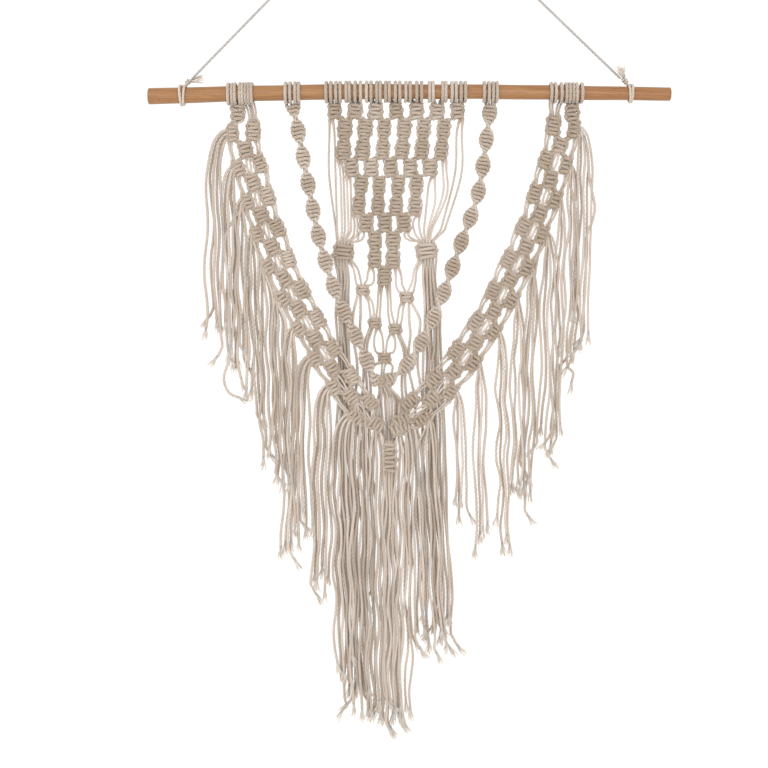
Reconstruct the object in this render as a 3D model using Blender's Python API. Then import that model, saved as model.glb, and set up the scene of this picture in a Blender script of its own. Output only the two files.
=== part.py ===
"""Macrame wall hanging: cotton cords tied on a wooden rod, hung from one loop of cord.

Metres, +Z up. The origin is where the loop hangs on its nail, the front faces -Y and the wall
is behind, at +Y. Each node is one body: the strands of a piece are fused at its ridged knots.
"""

import math

import bpy
import bmesh
from mathutils import Vector

MM = 0.001

# Driving dimensions, in millimetres
CORD = 3.2               # thickness of the knotted cotton cord
HANGER_CORD = 2.8        # thickness of the hanging cord
CLEARANCE = 0.3          # between neighbouring pieces
PANEL_Y = 4.5            # the knotted work hangs from the back of the rod
LAYER = 1.95             # half the distance between two layers of strands

# The rod: centre height and radius at places along its length (it is a tapered, slightly bowed stick)
ROD_STATIONS = (
    # x, centre z, radius
    (-239.7, -239.6, 7.85),
    (-150.0, -236.9, 7.6),
    (-40.0, -235.0, 7.35),
    (80.0, -235.2, 7.1),
    (170.0, -236.2, 6.85),
    (258.4, -237.4, 6.6),
)

# The hanging cord
LOOP_RADIUS = 7.4
LOOP_KNOT_Z = -19.5
LEG_STEPS = 40
LOOP_KNOT_REACH = 6.5    # from the loop's knot to the ends of the two legs
TIES = (
    # name, leg foot x and z, wrap places, knot x, knot z, free ends (x, y, z)
    ("left", -199.4, -224.2, (-209.6, -204.6), -202.0, -226.2,
     ((-192.0, 6.2, -224.5),)),
    ("right", 211.6, -223.4, (218.6, 221.9), 215.4, -225.4,
     ((210.0, -2.6, -213.0), (214.8, 2.2, -212.2))),
)

# Doubled cords on the rod: centre of each lark's head
HEADS = {
    "band_left": (-161.5, -154.5, -148.4, -142.6),
    "spiral_left": (-106.3, -98.2),
    "net": (-67.4, -58.8, -49.2, -39.9, -29.2, -20.2, -11.6, -2.0,
            7.5, 18.8, 30.0, 42.6, 51.4, 60.3),
    "spiral_right": (82.5, 91.0),
    "band_right": (146.2, 156.6, 164.0, 171.2),
}
HEAD_HALF = 2.1          # from the centre of a lark's head to each of its two strands

# The net: rows of square knots and of longer sinnets
NET_ROWS = (
    # top z, bottom z, centre x at the top, sideways lean to the bottom, pitch x, knots, ridges
    (-246.0, -259.5, -2.9, -0.8, 19.6, 7, 2),
    (-258.5, -298.5, -4.4, -3.0, 18.8, 6, 4),
    (-297.0, -314.5, -8.5, 0.0, 18.8, 5, 2),
    (-313.5, -352.0, -9.8, -2.8, 17.8, 4, 4),
    (-350.5, -368.0, -14.0, 0.0, 18.0, 3, 2),
    (-367.0, -403.0, -15.0, 0.0, 17.4, 2, 4),
    (-401.5, -420.5, -14.5, 0.0, 0.0, 1, 2),
)
KNOT_WIDTH = 11.4
KNOT_DEPTH = 7.4

# Strands that leave the outer knots of the first rows of the net for the gathered knots
SHED = (
    # row of the net, where they hang and where they enter, out from the gathered knot, depth
    (0, 13.4, 6.0, -0.70),
    (1, 11.3, 3.4, -0.35),
    (2, 9.2, 0.8, 0.0),
    (3, 7.1, -1.8, 0.35),
    (4, 5.0, -4.4, 0.70),
)

# Gathered knots that bundle these strands on each side
GATHERS = (
    # side, x, z, bundle: (x, y, z, distance between strands) down to its end
    (-1, -53.0, -388.0, ((-53.5, 9.2, -412.0, 2.0), (-54.5, 9.2, -480.0, 2.0),
                         (-51.0, 9.2, -610.0, 2.4), (-40.0, 8.0, -812.0, 3.2))),
    (1, 25.2, -387.0, ((28.5, 9.2, -412.0, 2.0), (31.5, 9.2, -480.0, 2.0),
                       (36.0, 9.0, -600.0, 2.4), (42.0, 8.0, -745.0, 3.2))),
)
GATHER_WIDTH = 17.0
GATHER_LENGTH = 18.0
GATHER_LEAN = 1.5        # outwards, from its top to its bottom
BUNDLE_STRANDS = 6
BUNDLE_ENDS = 14.0       # the bundle's tips lie within this of its end

# Loose square knots below the net
LOOSE_KNOTS = {
    "low_left": (-35.2, -424.4),
    "low_right": (6.8, -431.1),
    "mid_left": (-23.7, -455.9),
    "mid_right": (-4.1, -461.6),
    "last": (-14.5, -489.3),
}
LOOSE_WIDTH = 12.5
LOOSE_LENGTH = 11.0
LOOSE_LINKS = (
    # two strands from one knot to the next, and how far they bow outwards
    ("gather_left", "low_left", 0.0),
    ("gather_right", "low_right", 0.0),
    ("row6_left", "low_left", 0.5),
    ("row6_right", "low_right", 0.5),
    ("row7", "mid_left", 3.0),
    ("row7", "mid_right", 3.0),
    ("low_left", "mid_left", 3.0),
    ("low_right", "mid_right", 3.0),
    ("mid_left", "last", 3.0),
    ("mid_right", "last", 3.0),
)
SUNK = 3.0               # how deep the end of a strand is sunk in its knot

# How far back the bands and the spirals hang: low down they lie in front of the bundles
BAND_LIE = ((-380.0, 4.5), (-450.0, 0.0))
SPIRAL_LIE = ((-330.0, 4.5), (-400.0, -3.2), (-478.0, -3.2), (-505.0, 0.0))

BUNDLE_STRANDS = 6

# Spirals: the line of each half-knot spiral, from the rod down to the joint knot
SPIRALS = {
    "left": ((-102.2, -247.0), (-96.9, -272.7), (-87.4, -323.3), (-76.0, -378.6),
             (-59.7, -430.1), (-36.0, -480.7), (-26.0, -505.5)),
    "right": ((86.8, -247.0), (84.8, -265.8), (75.3, -330.4), (58.6, -379.1),
              (33.8, -447.7), (8.4, -494.0), (-7.4, -505.8)),
}
SPIRAL_PITCH = 25.6      # one swelling of the spiral, half a turn
SPIRAL_STEPS = 4
SPIRAL_WIDTH = 14.0
SPIRAL_DEPTH = 6.6

# Bands: line through the middle column of knots, and the distance from one row to the next
BANDS = {
    "left": (32.4, ((-151.0, -252.0), (-148.0, -288.9), (-131.7, -352.4), (-108.9, -415.2),
                    (-80.7, -470.2), (-45.4, -526.9), (-27.5, -546.0))),
    "right": (34.4, ((160.0, -252.0), (154.6, -282.8), (135.4, -347.1), (106.8, -412.7),
                     (72.5, -474.3), (30.9, -527.4), (-1.5, -551.5))),
}
BAND_ENDS = {
    # the last knot of each band: x, z, direction
    "left": (-22.4, -552.6, (0.78, -0.63)),
    "right": (-0.6, -556.4, (-0.90, -0.44)),
}
INNER_OFFSET = 10.4      # the inner column lies this far to the inner side of the middle one
OUTER_OFFSET = 9.6
BAND_KNOT_SHARE = 0.57   # length of a knot, as a share of the pitch of the rows
BAND_KNOT_WIDTH = 11.6
NECK_WIDTH = 4.6         # of the two strands between one knot of a column and the next
RIDGE_SHARE = 0.8        # width of the furrow between two ridges, as a share of the knot's
OUTER_KNOT_WIDTH = 9.4

# Fringe: one lock of hitched cords at each outer knot of a band
FRINGE = {
    "left": (
        # row of the band, strands, hanging x, end x, end z
        (0, 4, -177.5, -176.0, -478.0),
        (1, 4, -164.5, -161.0, -508.0),
        (2, 4, -154.0, -152.5, -520.0),
        (3, 5, -142.5, -137.0, -556.0),
        (4, 4, -128.5, -123.5, -597.0),
        (5, 4, -117.0, -113.0, -630.0),
        (6, 4, -105.5, -104.5, -680.0),
        (7, 4, -94.5, -93.0, -664.0),
        (8, 4, -76.0, -76.0, -724.0),
        (9, 5, -57.0, -50.0, -803.0),
        (10, 5, -36.5, -34.0, -838.0),
        (11, 4, -22.0, -22.0, -846.0),
    ),
    "right": (
        (0, 4, 177.8, 174.0, -480.0),
        (1, 4, 166.4, 163.0, -503.0),
        (2, 3, 155.0, 149.2, -588.0),
        (3, 4, 144.4, 141.6, -586.0),
        (4, 4, 126.5, 120.5, -640.0),
        (5, 4, 113.5, 112.0, -628.0),
        (6, 4, 97.7, 99.6, -678.0),
        (7, 4, 76.7, 76.7, -684.0),
        (8, 4, 57.6, 57.6, -648.0),
        (9, 5, 27.0, 33.0, -772.0),
        (10, 4, 13.5, 17.0, -765.0),
        (11, 4, 3.2, 3.0, -842.0),
    ),
}

# Centre tassel: locks below the point where the bands meet
JOINT_KNOT = (-16.8, -512.5)
JOINT_WIDTH = 8.0
FAN = (
    # strands below the joint knot: x where they hang apart, x in the top of the bottom sinnet
    (-20.6, -14.0), (-17.6, -12.6), (-13.6, -11.2), (-10.6, -9.8),
    (-7.4, -8.8), (-4.2, -7.6), (-1.6, -6.2), (1.0, -4.8),
)
FAN_BACK = 7.4           # the fan passes this far back, behind the ends of the bands
BOTTOM_KNOT = (-9.4, -570.0, -598.5)
BOTTOM_LOCK = (4, -8.5, -8.5, -820.0)

# Sections of the strands and knots
STRAND_SIDES = 3
STRAND_RADIUS = 1.8
STRANDS_APART = 2.1      # across a hanging lock, in two layers
STRANDS_BESIDE = 2.6     # between two strands at the top of a knot
LOCK_ENDS = 16.0         # the tips of a lock lie within this of its end


def clear_scene():
    for item in list(bpy.data.objects):
        bpy.data.objects.remove(item)
    for item in list(bpy.data.collections):
        bpy.data.collections.remove(item)


def add_collection(name, hidden):
    collection = bpy.data.collections.new(name)
    bpy.context.scene.collection.children.link(collection)
    collection.hide_render = hidden
    return collection


def material(name, colour, roughness, metallic=0.0):
    made = bpy.data.materials.get(name) or bpy.data.materials.new(name)
    made.use_nodes = True
    shader = made.node_tree.nodes["Principled BSDF"]
    shader.inputs["Base Color"].default_value = (*colour, 1.0)
    shader.inputs["Roughness"].default_value = roughness
    shader.inputs["Metallic"].default_value = metallic
    return made


def vary(*keys):
    """A fixed spread between -1 and 1 for each set of numbers, so that like strands differ."""
    mixed = sum(key * step for key, step in zip(keys, (12.9898, 78.233, 37.719)))
    return 2 * ((math.sin(mixed) * 43758.5453) % 1.0) - 1


def section(name, corners):
    """A closed outline that a curve is given as its section; corners in units of its radius."""
    curve = bpy.data.curves.new(name, "CURVE")
    curve.dimensions = "2D"
    spline = curve.splines.new("POLY")
    spline.points.add(len(corners) - 1)
    for point, (x, y) in zip(spline.points, corners):
        point.co = (x * MM, y * MM, 0.0, 1.0)
    spline.use_cyclic_u = True
    made = bpy.data.objects.new(name, curve)
    made.hide_render = True
    made.display_type = "WIRE"
    guides.objects.link(made)
    return made


def box_corners(half_depth, half_width):
    """A box section. A section's own X becomes the depth of a bar that hangs."""
    return [(half_depth, half_width), (-half_depth, half_width),
            (-half_depth, -half_width), (half_depth, -half_width)]


def round_section(name, sides):
    steps = [2 * math.pi * i / sides + math.pi / sides for i in range(sides)]
    return section(name, [(math.cos(a), math.sin(a)) for a in steps])


def tube(name, points, radii, shape, cyclic=False, tilts=None):
    """A curve along the points (mm) with the section scaled to each point's radius (mm)."""
    curve = bpy.data.curves.new(name, "CURVE")
    curve.dimensions = "3D"
    curve.bevel_mode = "OBJECT"
    curve.bevel_object = shape
    curve.use_fill_caps = not cyclic
    spline = curve.splines.new("POLY")
    spline.points.add(len(points) - 1)
    for i, (x, y, z) in enumerate(points):
        spline.points[i].co = (x * MM, y * MM, z * MM, 1.0)
        spline.points[i].radius = radii[i] if isinstance(radii, (list, tuple)) else radii
        if tilts:
            spline.points[i].tilt = tilts[i]
    spline.use_cyclic_u = cyclic
    made = bpy.data.objects.new(name, curve)
    made.hide_render = True
    made.display_type = "WIRE"
    guides.objects.link(made)
    return made


def weld(mesh):
    """Closes a tube's caps and turns its faces outwards."""
    bm = bmesh.new()
    bm.from_mesh(mesh)
    bmesh.ops.remove_doubles(bm, verts=bm.verts, dist=1e-6)
    bmesh.ops.recalc_face_normals(bm, faces=bm.faces)
    bm.to_mesh(mesh)
    bm.free()


def strand(points, radius=STRAND_RADIUS):
    return tube("strand", points, radius, strand_section)


def ridged(points, width, ridges, shape):
    """A bar of knots: its section swells at each ridge and narrows between two of them."""
    start, end = Vector(points[0]), Vector(points[-1])
    count = 2 * ridges - 2
    stops = [start.lerp(end, i / count) for i in range(count + 1)]
    radii = [width / 2 * (RIDGE_SHARE if i % 2 else 1.0) for i in range(count + 1)]
    return tube("bar", stops, radii, shape)


def knot_at(x, z, width, length, ridges=2, lean=(0.0, -1.0), y=PANEL_Y):
    """A ridged knot centred at x and z, along the direction that the work runs there."""
    dx, dz = lean[0] * length / 2, lean[1] * length / 2
    return ridged([(x - dx, y, z - dz), (x + dx, y, z + dz)], width, ridges, knot_section)


def column(knots, width, length, shape):
    """A column of a band as one bar: wide at each knot, two strands wide between two knots."""
    points, radii = [], []
    for x, z, (dx, dz) in knots:
        y = lie_at(BAND_LIE, z)
        for along, across in ((-0.64, NECK_WIDTH), (-0.5, width), (0.5, width),
                              (0.64, NECK_WIDTH)):
            points.append((x + dx * along * length, y, z + dz * along * length))
            radii.append(across / 2)
    return tube("column", points[1:-1], radii[1:-1], shape)


def lie_at(line, z):
    """The depth y at height z, from the top of a line of (z, y) to its end."""
    if z >= line[0][0]:
        return line[0][1]
    for (z0, y0), (z1, y1) in zip(line, line[1:]):
        if z >= z1:
            return y0 + (y1 - y0) * (z0 - z) / (z0 - z1)
    return line[-1][1]


def smooth_line(points, step):
    """Places every step mm along a smooth curve through the points (x, z): (x, z, dx, dz)."""
    ends = [(2 * points[0][0] - points[1][0], 2 * points[0][1] - points[1][1])]
    tail = [(2 * points[-1][0] - points[-2][0], 2 * points[-1][1] - points[-2][1])]
    route = ends + list(points) + tail
    fine = []
    for a, b, c, d in zip(route, route[1:], route[2:], route[3:]):
        for i in range(24):
            t = i / 24
            fine.append(tuple(
                0.5 * (2 * q + (r - p) * t + (2 * p - 5 * q + 4 * r - s) * t * t
                       + (3 * q - p - 3 * r + s) * t ** 3)
                for p, q, r, s in zip(a, b, c, d)))
    fine.append(tuple(points[-1]))
    places, along, wanted = [], 0.0, 0.0
    for (x0, z0), (x1, z1) in zip(fine, fine[1:]):
        length = math.hypot(x1 - x0, z1 - z0)
        while wanted <= along + length:
            t = (wanted - along) / length
            places.append((x0 + t * (x1 - x0), z0 + t * (z1 - z0),
                           (x1 - x0) / length, (z1 - z0) / length))
            wanted += step
        along += length
    return places


def rod_at(x):
    """Centre height and radius of the rod at x."""
    for (x0, z0, r0), (x1, z1, r1) in zip(ROD_STATIONS, ROD_STATIONS[1:]):
        if x <= x1:
            t = (x - x0) / (x1 - x0)
            return z0 + t * (z1 - z0), r0 + t * (r1 - r0)
    return ROD_STATIONS[-1][1:]


def wrap(x_top, foot):
    """A strand from its foot (x, y, z) up behind the rod, over it, down its front and under it."""
    centre, radius = rod_at(x_top)
    reach = (radius + CLEARANCE + 0.95 * STRAND_RADIUS) / math.cos(math.radians(30))
    points = [foot]
    for i in range(6):
        angle = math.radians(60 * i)
        drift = (foot[0] - x_top) * (0.0, 0.0, 0.0, 0.2, 0.6, 0.8)[i]
        points.append((x_top + drift, reach * math.cos(angle), centre + reach * math.sin(angle)))
    return strand(points)


def knot_feet(x, z):
    """Where four strands run into the top of a knot: side by side, in two layers."""
    return [(x + STRANDS_BESIDE * (i - 1.5), PANEL_Y + LAYER * (-1) ** i, z) for i in range(4)]


def heads(group, feet):
    """The lark's heads of one group: two wraps each, down to a pair of feet in a knot."""
    pieces = []
    for x, pair in zip(HEADS[group], feet):
        for j, foot in zip((-1, 1), pair):
            pieces.append(wrap(x + j * HEAD_HALF, foot))
    return pieces


def lock(key, root, strands, hang_x, end_x, end_z, y):
    """Strands that leave one root, swing to where they hang and fall to uneven ends."""
    apart = STRANDS_APART
    lines = []
    for i in range(strands):
        place = i - (strands - 1) / 2
        depth = y + (LAYER if i % 2 else -LAYER)
        tip = end_z + LOCK_ENDS * vary(key, i, 1)
        fall = root[1] - tip
        x_hang = hang_x + apart * place
        x_end = end_x + apart * place * 1.15 + 0.4 * vary(key, i, 2)
        turn = min(38.0, 0.3 * fall)
        lines.append([
            (root[0] + min(apart, 1.9) * place, depth, root[1] + 2.0),
            (root[0] + 0.7 * (x_hang - root[0]) + 0.3 * apart * place, depth,
             root[1] - 0.4 * turn),
            (x_hang, depth, root[1] - 1.2 * turn),
            (x_end, depth, tip),
        ])
    return lines


def keep(name, pieces, finish, smooth=False):
    """Notes the pieces of one node; they are joined once every curve has been laid."""
    nodes.append((name, pieces, finish, smooth))


def as_meshes():
    """Turns every piece of every node into a closed mesh, and removes the curves."""
    bpy.context.view_layer.update()
    graph = bpy.context.evaluated_depsgraph_get()
    ready = []
    for name, pieces, finish, smooth in nodes:
        meshes = [bpy.data.meshes.new_from_object(piece.evaluated_get(graph)) for piece in pieces]
        for mesh in meshes:
            weld(mesh)
        ready.append((name, meshes, finish, smooth))
    for _, pieces, _, _ in nodes:
        for piece in pieces:
            bpy.data.objects.remove(piece)
    return ready


def fuse(name, meshes, finish, smooth):
    """One node: the union of the pieces."""
    base = bpy.data.objects.new(name, meshes[0])
    base.name = name
    hanging.objects.link(base)
    base.data.materials.append(finish)
    if smooth:
        base.data.shade_smooth()
        base.data.set_sharp_from_angle(angle=math.radians(50))
    if len(meshes) == 1:
        return
    operands = bpy.data.collections.new(name + "_pieces")
    cutters.children.link(operands)
    for mesh in meshes[1:]:
        other = bpy.data.objects.new(name + "_piece", mesh)
        other.hide_render = True
        other.display_type = "WIRE"
        operands.objects.link(other)
    union = base.modifiers.new("union", "BOOLEAN")
    union.operation = "UNION"
    union.operand_type = "COLLECTION"
    union.collection = operands
    union.solver = "EXACT"


def make_rod(finish):
    points = [(x, 0.0, z) for x, z, _ in ROD_STATIONS]
    radii = [radius for _, _, radius in ROD_STATIONS]
    rod = tube("rod", points, radii, rod_section)
    keep("rod", [rod], finish, smooth=True)


def make_hanger(finish):
    """Two taut legs and the loop knot that hangs on the nail."""
    knot = (0.0, 0.0, LOOP_KNOT_Z)
    for name, foot_x, foot_z, *_ in TIES:
        foot = Vector((foot_x, 0.0, foot_z))
        way = (Vector(knot) - foot).normalized()
        start = foot + way * (CLEARANCE + 0.5)
        end = Vector(knot) - way * (LOOP_KNOT_REACH + CLEARANCE)
        points = [start.lerp(end, i / LEG_STEPS) for i in range(LEG_STEPS + 1)]
        leg = tube("hanger_" + name, points, 1.0, None)
        leg.data.bevel_mode = "ROUND"
        leg.data.bevel_depth = HANGER_CORD / 2 * MM
        leg.data.bevel_resolution = 2
        keep("hanger_" + name, [leg], finish, smooth=True)
    ring = [(LOOP_RADIUS * math.sin(2 * math.pi * i / 16), 0.0,
             -LOOP_RADIUS + LOOP_RADIUS * math.cos(2 * math.pi * i / 16)) for i in range(16)]
    loop = tube("loop", ring, HANGER_CORD / 2, round6, cyclic=True)
    lump = ridged([(0, 0, LOOP_KNOT_Z + 5.5), (0, 0, LOOP_KNOT_Z - 4.2)], 10.0, 2, round6)
    keep("hanger_loop", [lump, loop], finish)


def make_tie(row, finish):
    """Two turns of the hanging cord round the rod, the knot on top and its free ends."""
    name, foot_x, foot_z, wraps, knot_x, knot_z, ends = row
    pieces = []
    for x in wraps:
        centre, radius = rod_at(x)
        reach = radius + CLEARANCE + HANGER_CORD / 2 + 0.3
        inward = 0.6 * (sum(wraps) / 2 - x)
        turn = [(x + inward * (1 - math.cos(a)) / 2, reach * math.sin(a),
                 centre + reach * math.cos(a))
                for a in (2 * math.pi * i / 10 for i in range(10))]
        pieces.append(tube("turn", turn, HANGER_CORD / 2, round4, cyclic=True))
    way = (Vector((0, 0, LOOP_KNOT_Z)) - Vector((foot_x, 0, foot_z))).normalized()
    low = Vector((knot_x, 0.0, knot_z)) - way * 2.0
    top = Vector((foot_x, 0.0, foot_z))
    pieces.insert(0, ridged([low, top], 5.6, 2, round6))
    first = min(wraps, key=lambda x: abs(x - knot_x))
    centre, radius = rod_at(first)
    pieces.append(tube("link", [(first, 0.0, centre + radius + 1.9), low + way * 1.5],
                       HANGER_CORD / 2, round4))
    for end in ends:
        pieces.append(tube("end", [low + way * 2.0, end], [1.3, 1.7], round4))
    keep("tie_" + name, pieces, finish)


def net_places():
    """Centre x of each knot of each row of the net, at its lower end."""
    return [[centre + lean + (i - (knots - 1) / 2) * pitch for i in range(knots)]
            for _, _, centre, lean, pitch, knots, _ in NET_ROWS]


def net_knots(places):
    """The knots and sinnets of the net; the sinnets are a little thinner."""
    pieces = []
    for (top, bottom, _, lean, _, _, ridges), row in zip(NET_ROWS, places):
        shape = thin_section if ridges > 2 else knot_section
        for x in row:
            pieces.append(ridged([(x - lean, PANEL_Y, top), (x, PANEL_Y, bottom)], KNOT_WIDTH,
                                 ridges, shape))
    return pieces


def shed_strands(side, gather_x, gather_z, places):
    """Two strands from the outer knot of each of the first rows down to the gathered knot."""
    pieces = []
    for row, hang, enter, depth in SHED:
        low = NET_ROWS[row][1]
        for j in (0, 1):
            out = places[row][0 if side < 0 else -1] + side * (2.2 + STRANDS_BESIDE * j)
            y = PANEL_Y + depth + LAYER * (-1) ** (row + j + 1)
            hang_x = gather_x + side * hang
            pieces.append(strand([
                (out, y, low + SUNK),
                (0.4 * (out + side * SUNK) + 0.6 * hang_x, y, low - 16.0 + 1.5 * row),
                (hang_x, y, 0.3 * low + 0.7 * gather_z),
                (gather_x + side * enter, y, gather_z + GATHER_LENGTH / 2 - SUNK)]))
    return pieces


def bundle_strands(side, gather_x, gather_z, bundle):
    """The strands that hang from a gathered knot, in two layers, down to uneven ends."""
    pieces = []
    for i in range(BUNDLE_STRANDS):
        place = i - (BUNDLE_STRANDS - 1) / 2
        layer = LAYER * (-1) ** (i + 1)
        line = [(gather_x + bundle[0][3] * place, PANEL_Y + layer,
                 gather_z - GATHER_LENGTH / 2 + SUNK)]
        line += [(x + apart * place, y + layer, z) for x, y, z, apart in bundle]
        x, y, z = line.pop()
        line.append((x, y, z + BUNDLE_ENDS * vary(90 + side, i, 1)))
        pieces.append(strand(line))
    return pieces


def loose_strands(places):
    """The strands from knot to knot below the net."""
    half = LOOSE_LENGTH / 2
    knots = {name: (x, z + half, z - half) for name, (x, z) in LOOSE_KNOTS.items()}
    for name, (_, x, z, _) in zip(("gather_left", "gather_right"), GATHERS):
        knots[name] = (x, z, z - GATHER_LENGTH / 2)
    for name, row, i in (("row6_left", 5, 0), ("row6_right", 5, 1), ("row7", 6, 0)):
        knots[name] = (places[row][i], *NET_ROWS[row][:2])
    pieces = []
    for upper, lower, bow in LOOSE_LINKS:
        (x0, _, z0), (x1, z1, _) = knots[upper], knots[lower]
        way = 1 if x1 > x0 else -1
        for j in (0, 1):
            pieces.append(strand([
                (x0 + way * (2.0 + 1.8 * j), PANEL_Y, z0 + SUNK),
                (0.5 * (x0 + x1) + way * (bow + 1.7 * j), PANEL_Y, 0.5 * (z0 + z1)),
                (x1 - way * (3.8 - 2.1 * j), PANEL_Y, z1 - SUNK)]))
    # the last two strands pass behind the joint knot
    x, _, z = knots["last"]
    for j in (-1, 1):
        pieces.append(strand([(x + 1.8 * j, PANEL_Y, z + SUNK),
                              (JOINT_KNOT[0] + 1.8 * j, PANEL_Y + 1.8, JOINT_KNOT[1] + 1.0)]))
    return pieces


def make_net(finish):
    """The net, its two gathered knots and bundles, and the loose knots below it."""
    places = net_places()
    pieces = net_knots(places)
    feet = [knot_feet(x, NET_ROWS[0][0] - SUNK)[i:i + 2] for x in places[0] for i in (0, 2)]
    pieces += heads("net", feet)
    for side, x, z, bundle in GATHERS:
        half = GATHER_LENGTH / 2
        pieces += shed_strands(side, x, z, places)
        pieces.append(ridged([(x, PANEL_Y + 0.5, z + half),
                              (x + side * GATHER_LEAN, PANEL_Y + 0.5, z - half)],
                             GATHER_WIDTH, 2, knot_section))
        pieces += bundle_strands(side, x, z, bundle)
    for x, z in LOOSE_KNOTS.values():
        pieces.append(knot_at(x, z, LOOSE_WIDTH, LOOSE_LENGTH))
    pieces += loose_strands(places)
    keep("net_panel", pieces, finish)


def make_spiral(side, finish):
    line = SPIRALS[side]
    places = smooth_line(line, SPIRAL_PITCH / SPIRAL_STEPS)
    points = [(x, lie_at(SPIRAL_LIE, z), z) for x, z, _, _ in places]
    turn = math.radians(180 / SPIRAL_STEPS) * (1 if side == "left" else -1)
    tilts = [turn * i for i in range(len(points))]
    radii = [SPIRAL_WIDTH / 2] * len(points)
    bar = tube("bar", points, radii, flat_section, tilts=tilts)
    x, z = line[0]
    group = "spiral_" + side
    feet = [knot_feet(x, z - 3.0)[i:i + 2] for i in (0, 2)]
    keep(group, [bar] + heads(group, feet), finish)


def band_rows(side):
    """The three columns of knots of a band: (x, z, direction) for middle, inner and outer."""
    pitch, line = BANDS[side]
    inward = 1 if side == "left" else -1
    half = smooth_line(line, pitch / 2)
    middle, inner, outer = [], [], []
    for i, (x, z, dx, dz) in enumerate(half[1:]):
        across = (-dz * inward, dx * inward)
        if i % 2 == 1:
            middle.append((x, z, (dx, dz)))
        else:
            inner.append((x + across[0] * INNER_OFFSET, z + across[1] * INNER_OFFSET, (dx, dz)))
            outer.append((x - across[0] * OUTER_OFFSET, z - across[1] * OUTER_OFFSET, (dx, dz)))
    return middle, inner, outer


def make_band(side, finish):
    """A slanting band of three columns of square knots, with its fringe."""
    middle, inner, outer = band_rows(side)
    length = BAND_KNOT_SHARE * BANDS[side][0]
    end = BAND_ENDS[side]
    pieces = [column(middle + [end], BAND_KNOT_WIDTH, length, knot_section),
              column(inner, BAND_KNOT_WIDTH, length, thin_section),
              column(outer, OUTER_KNOT_WIDTH, length, thin_section)]
    roots = outer + [middle[-1], end]
    for row, strands, hang_x, end_x, end_z in FRINGE[side]:
        x, z, _ = roots[row]
        for line in lock(row + (0 if side == "left" else 20), (x, z), strands, hang_x, end_x,
                         end_z, lie_at(BAND_LIE, z)):
            pieces.append(strand(line))
    group = "band_" + side
    (ox, oz, _), (ix, iz, _) = outer[0], inner[0]
    first_out = knot_feet(ox, oz + 4.0)
    first_in = knot_feet(ix, iz + 5.0)
    feet = [first_out[:2], first_out[2:], first_in[:2], first_in[2:]]
    if side == "right":
        feet = [first_in[:2], first_in[2:], first_out[:2], first_out[2:]]
    pieces += heads(group, feet)
    keep(group, pieces, finish)


def make_tassel(finish):
    """The joint knot, the fan of strands below it, the bottom sinnet and its fringe."""
    x, top, bottom = BOTTOM_KNOT
    joint_x, joint_z = JOINT_KNOT
    pieces = [
        ridged([(x, 0.0, top), (x, 0.0, bottom)], 12.5, 4, knot_section),
        knot_at(joint_x, joint_z, JOINT_WIDTH, 9.0, y=0.0),
    ]
    for i, (hang_x, foot_x) in enumerate(FAN):
        place = i - (len(FAN) - 1) / 2
        layer = LAYER / 2 * (-1) ** i
        pieces.append(strand([
            (joint_x + 0.9 * place, layer, joint_z - 1.0),
            (0.4 * joint_x + 0.6 * hang_x, 0.6 * FAN_BACK + layer, joint_z - 9.0),
            (hang_x, FAN_BACK + layer, joint_z - 20.0),
            (0.4 * hang_x + 0.6 * foot_x, FAN_BACK + layer, top + 3.0),
            (foot_x, 2.4 + layer, top - 5.0)]))
    for line in lock(40, (x, bottom + 1.0), *BOTTOM_LOCK, 0.0):
        pieces.append(strand(line))
    keep("centre_tassel", pieces, finish)


clear_scene()
hanging = add_collection("macrame_wall_hanging", False)
cutters = add_collection("union_pieces", True)
guides = add_collection("sections", True)
strand_section = round_section("strand_section", STRAND_SIDES)
rod_section = round_section("rod_section", 16)
round6 = round_section("round6", 6)
round8 = round_section("round8", 8)
round4 = round_section("round4", 4)
knot_section = section("knot_section", box_corners(KNOT_DEPTH / KNOT_WIDTH, 1.0))
thin_section = section("thin_section", box_corners(0.9 * KNOT_DEPTH / KNOT_WIDTH, 1.0))
flat_section = section("flat_section", box_corners(SPIRAL_DEPTH / SPIRAL_WIDTH, 1.0))

cotton = material("cotton_cord", (0.62, 0.54, 0.44), 0.95)
grey_cotton = material("hanging_cord", (0.55, 0.52, 0.49), 0.9)
wood = material("varnished_wood", (0.52, 0.26, 0.10), 0.5)

nodes = []
make_rod(wood)
make_hanger(grey_cotton)
for tie in TIES:
    make_tie(tie, grey_cotton)
make_net(cotton)
for side in ("left", "right"):
    make_spiral(side, cotton)
    make_band(side, cotton)
make_tassel(cotton)
for node in as_meshes():
    fuse(*node)
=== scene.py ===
# %% [markdown]
# # A macrame wall hanging
#
# Cotton cord knotted on a wooden rod: a net of square knots in the middle, a spiral on each
# side of it, two slanting bands that meet in a point, and a long fringe. The hanging is tied
# here the way a maker ties it. Each cord is a route of points, each knot is a function that
# leads a few routes round each other, and only at the end is every route drawn as a twisted
# cord. That keeps the knots true: a cord that goes into a knot is the one that comes out.
#
# The frame is loaded first. It holds the plain solids, and everything below fits them.

# %% Load the frame
import math

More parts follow.
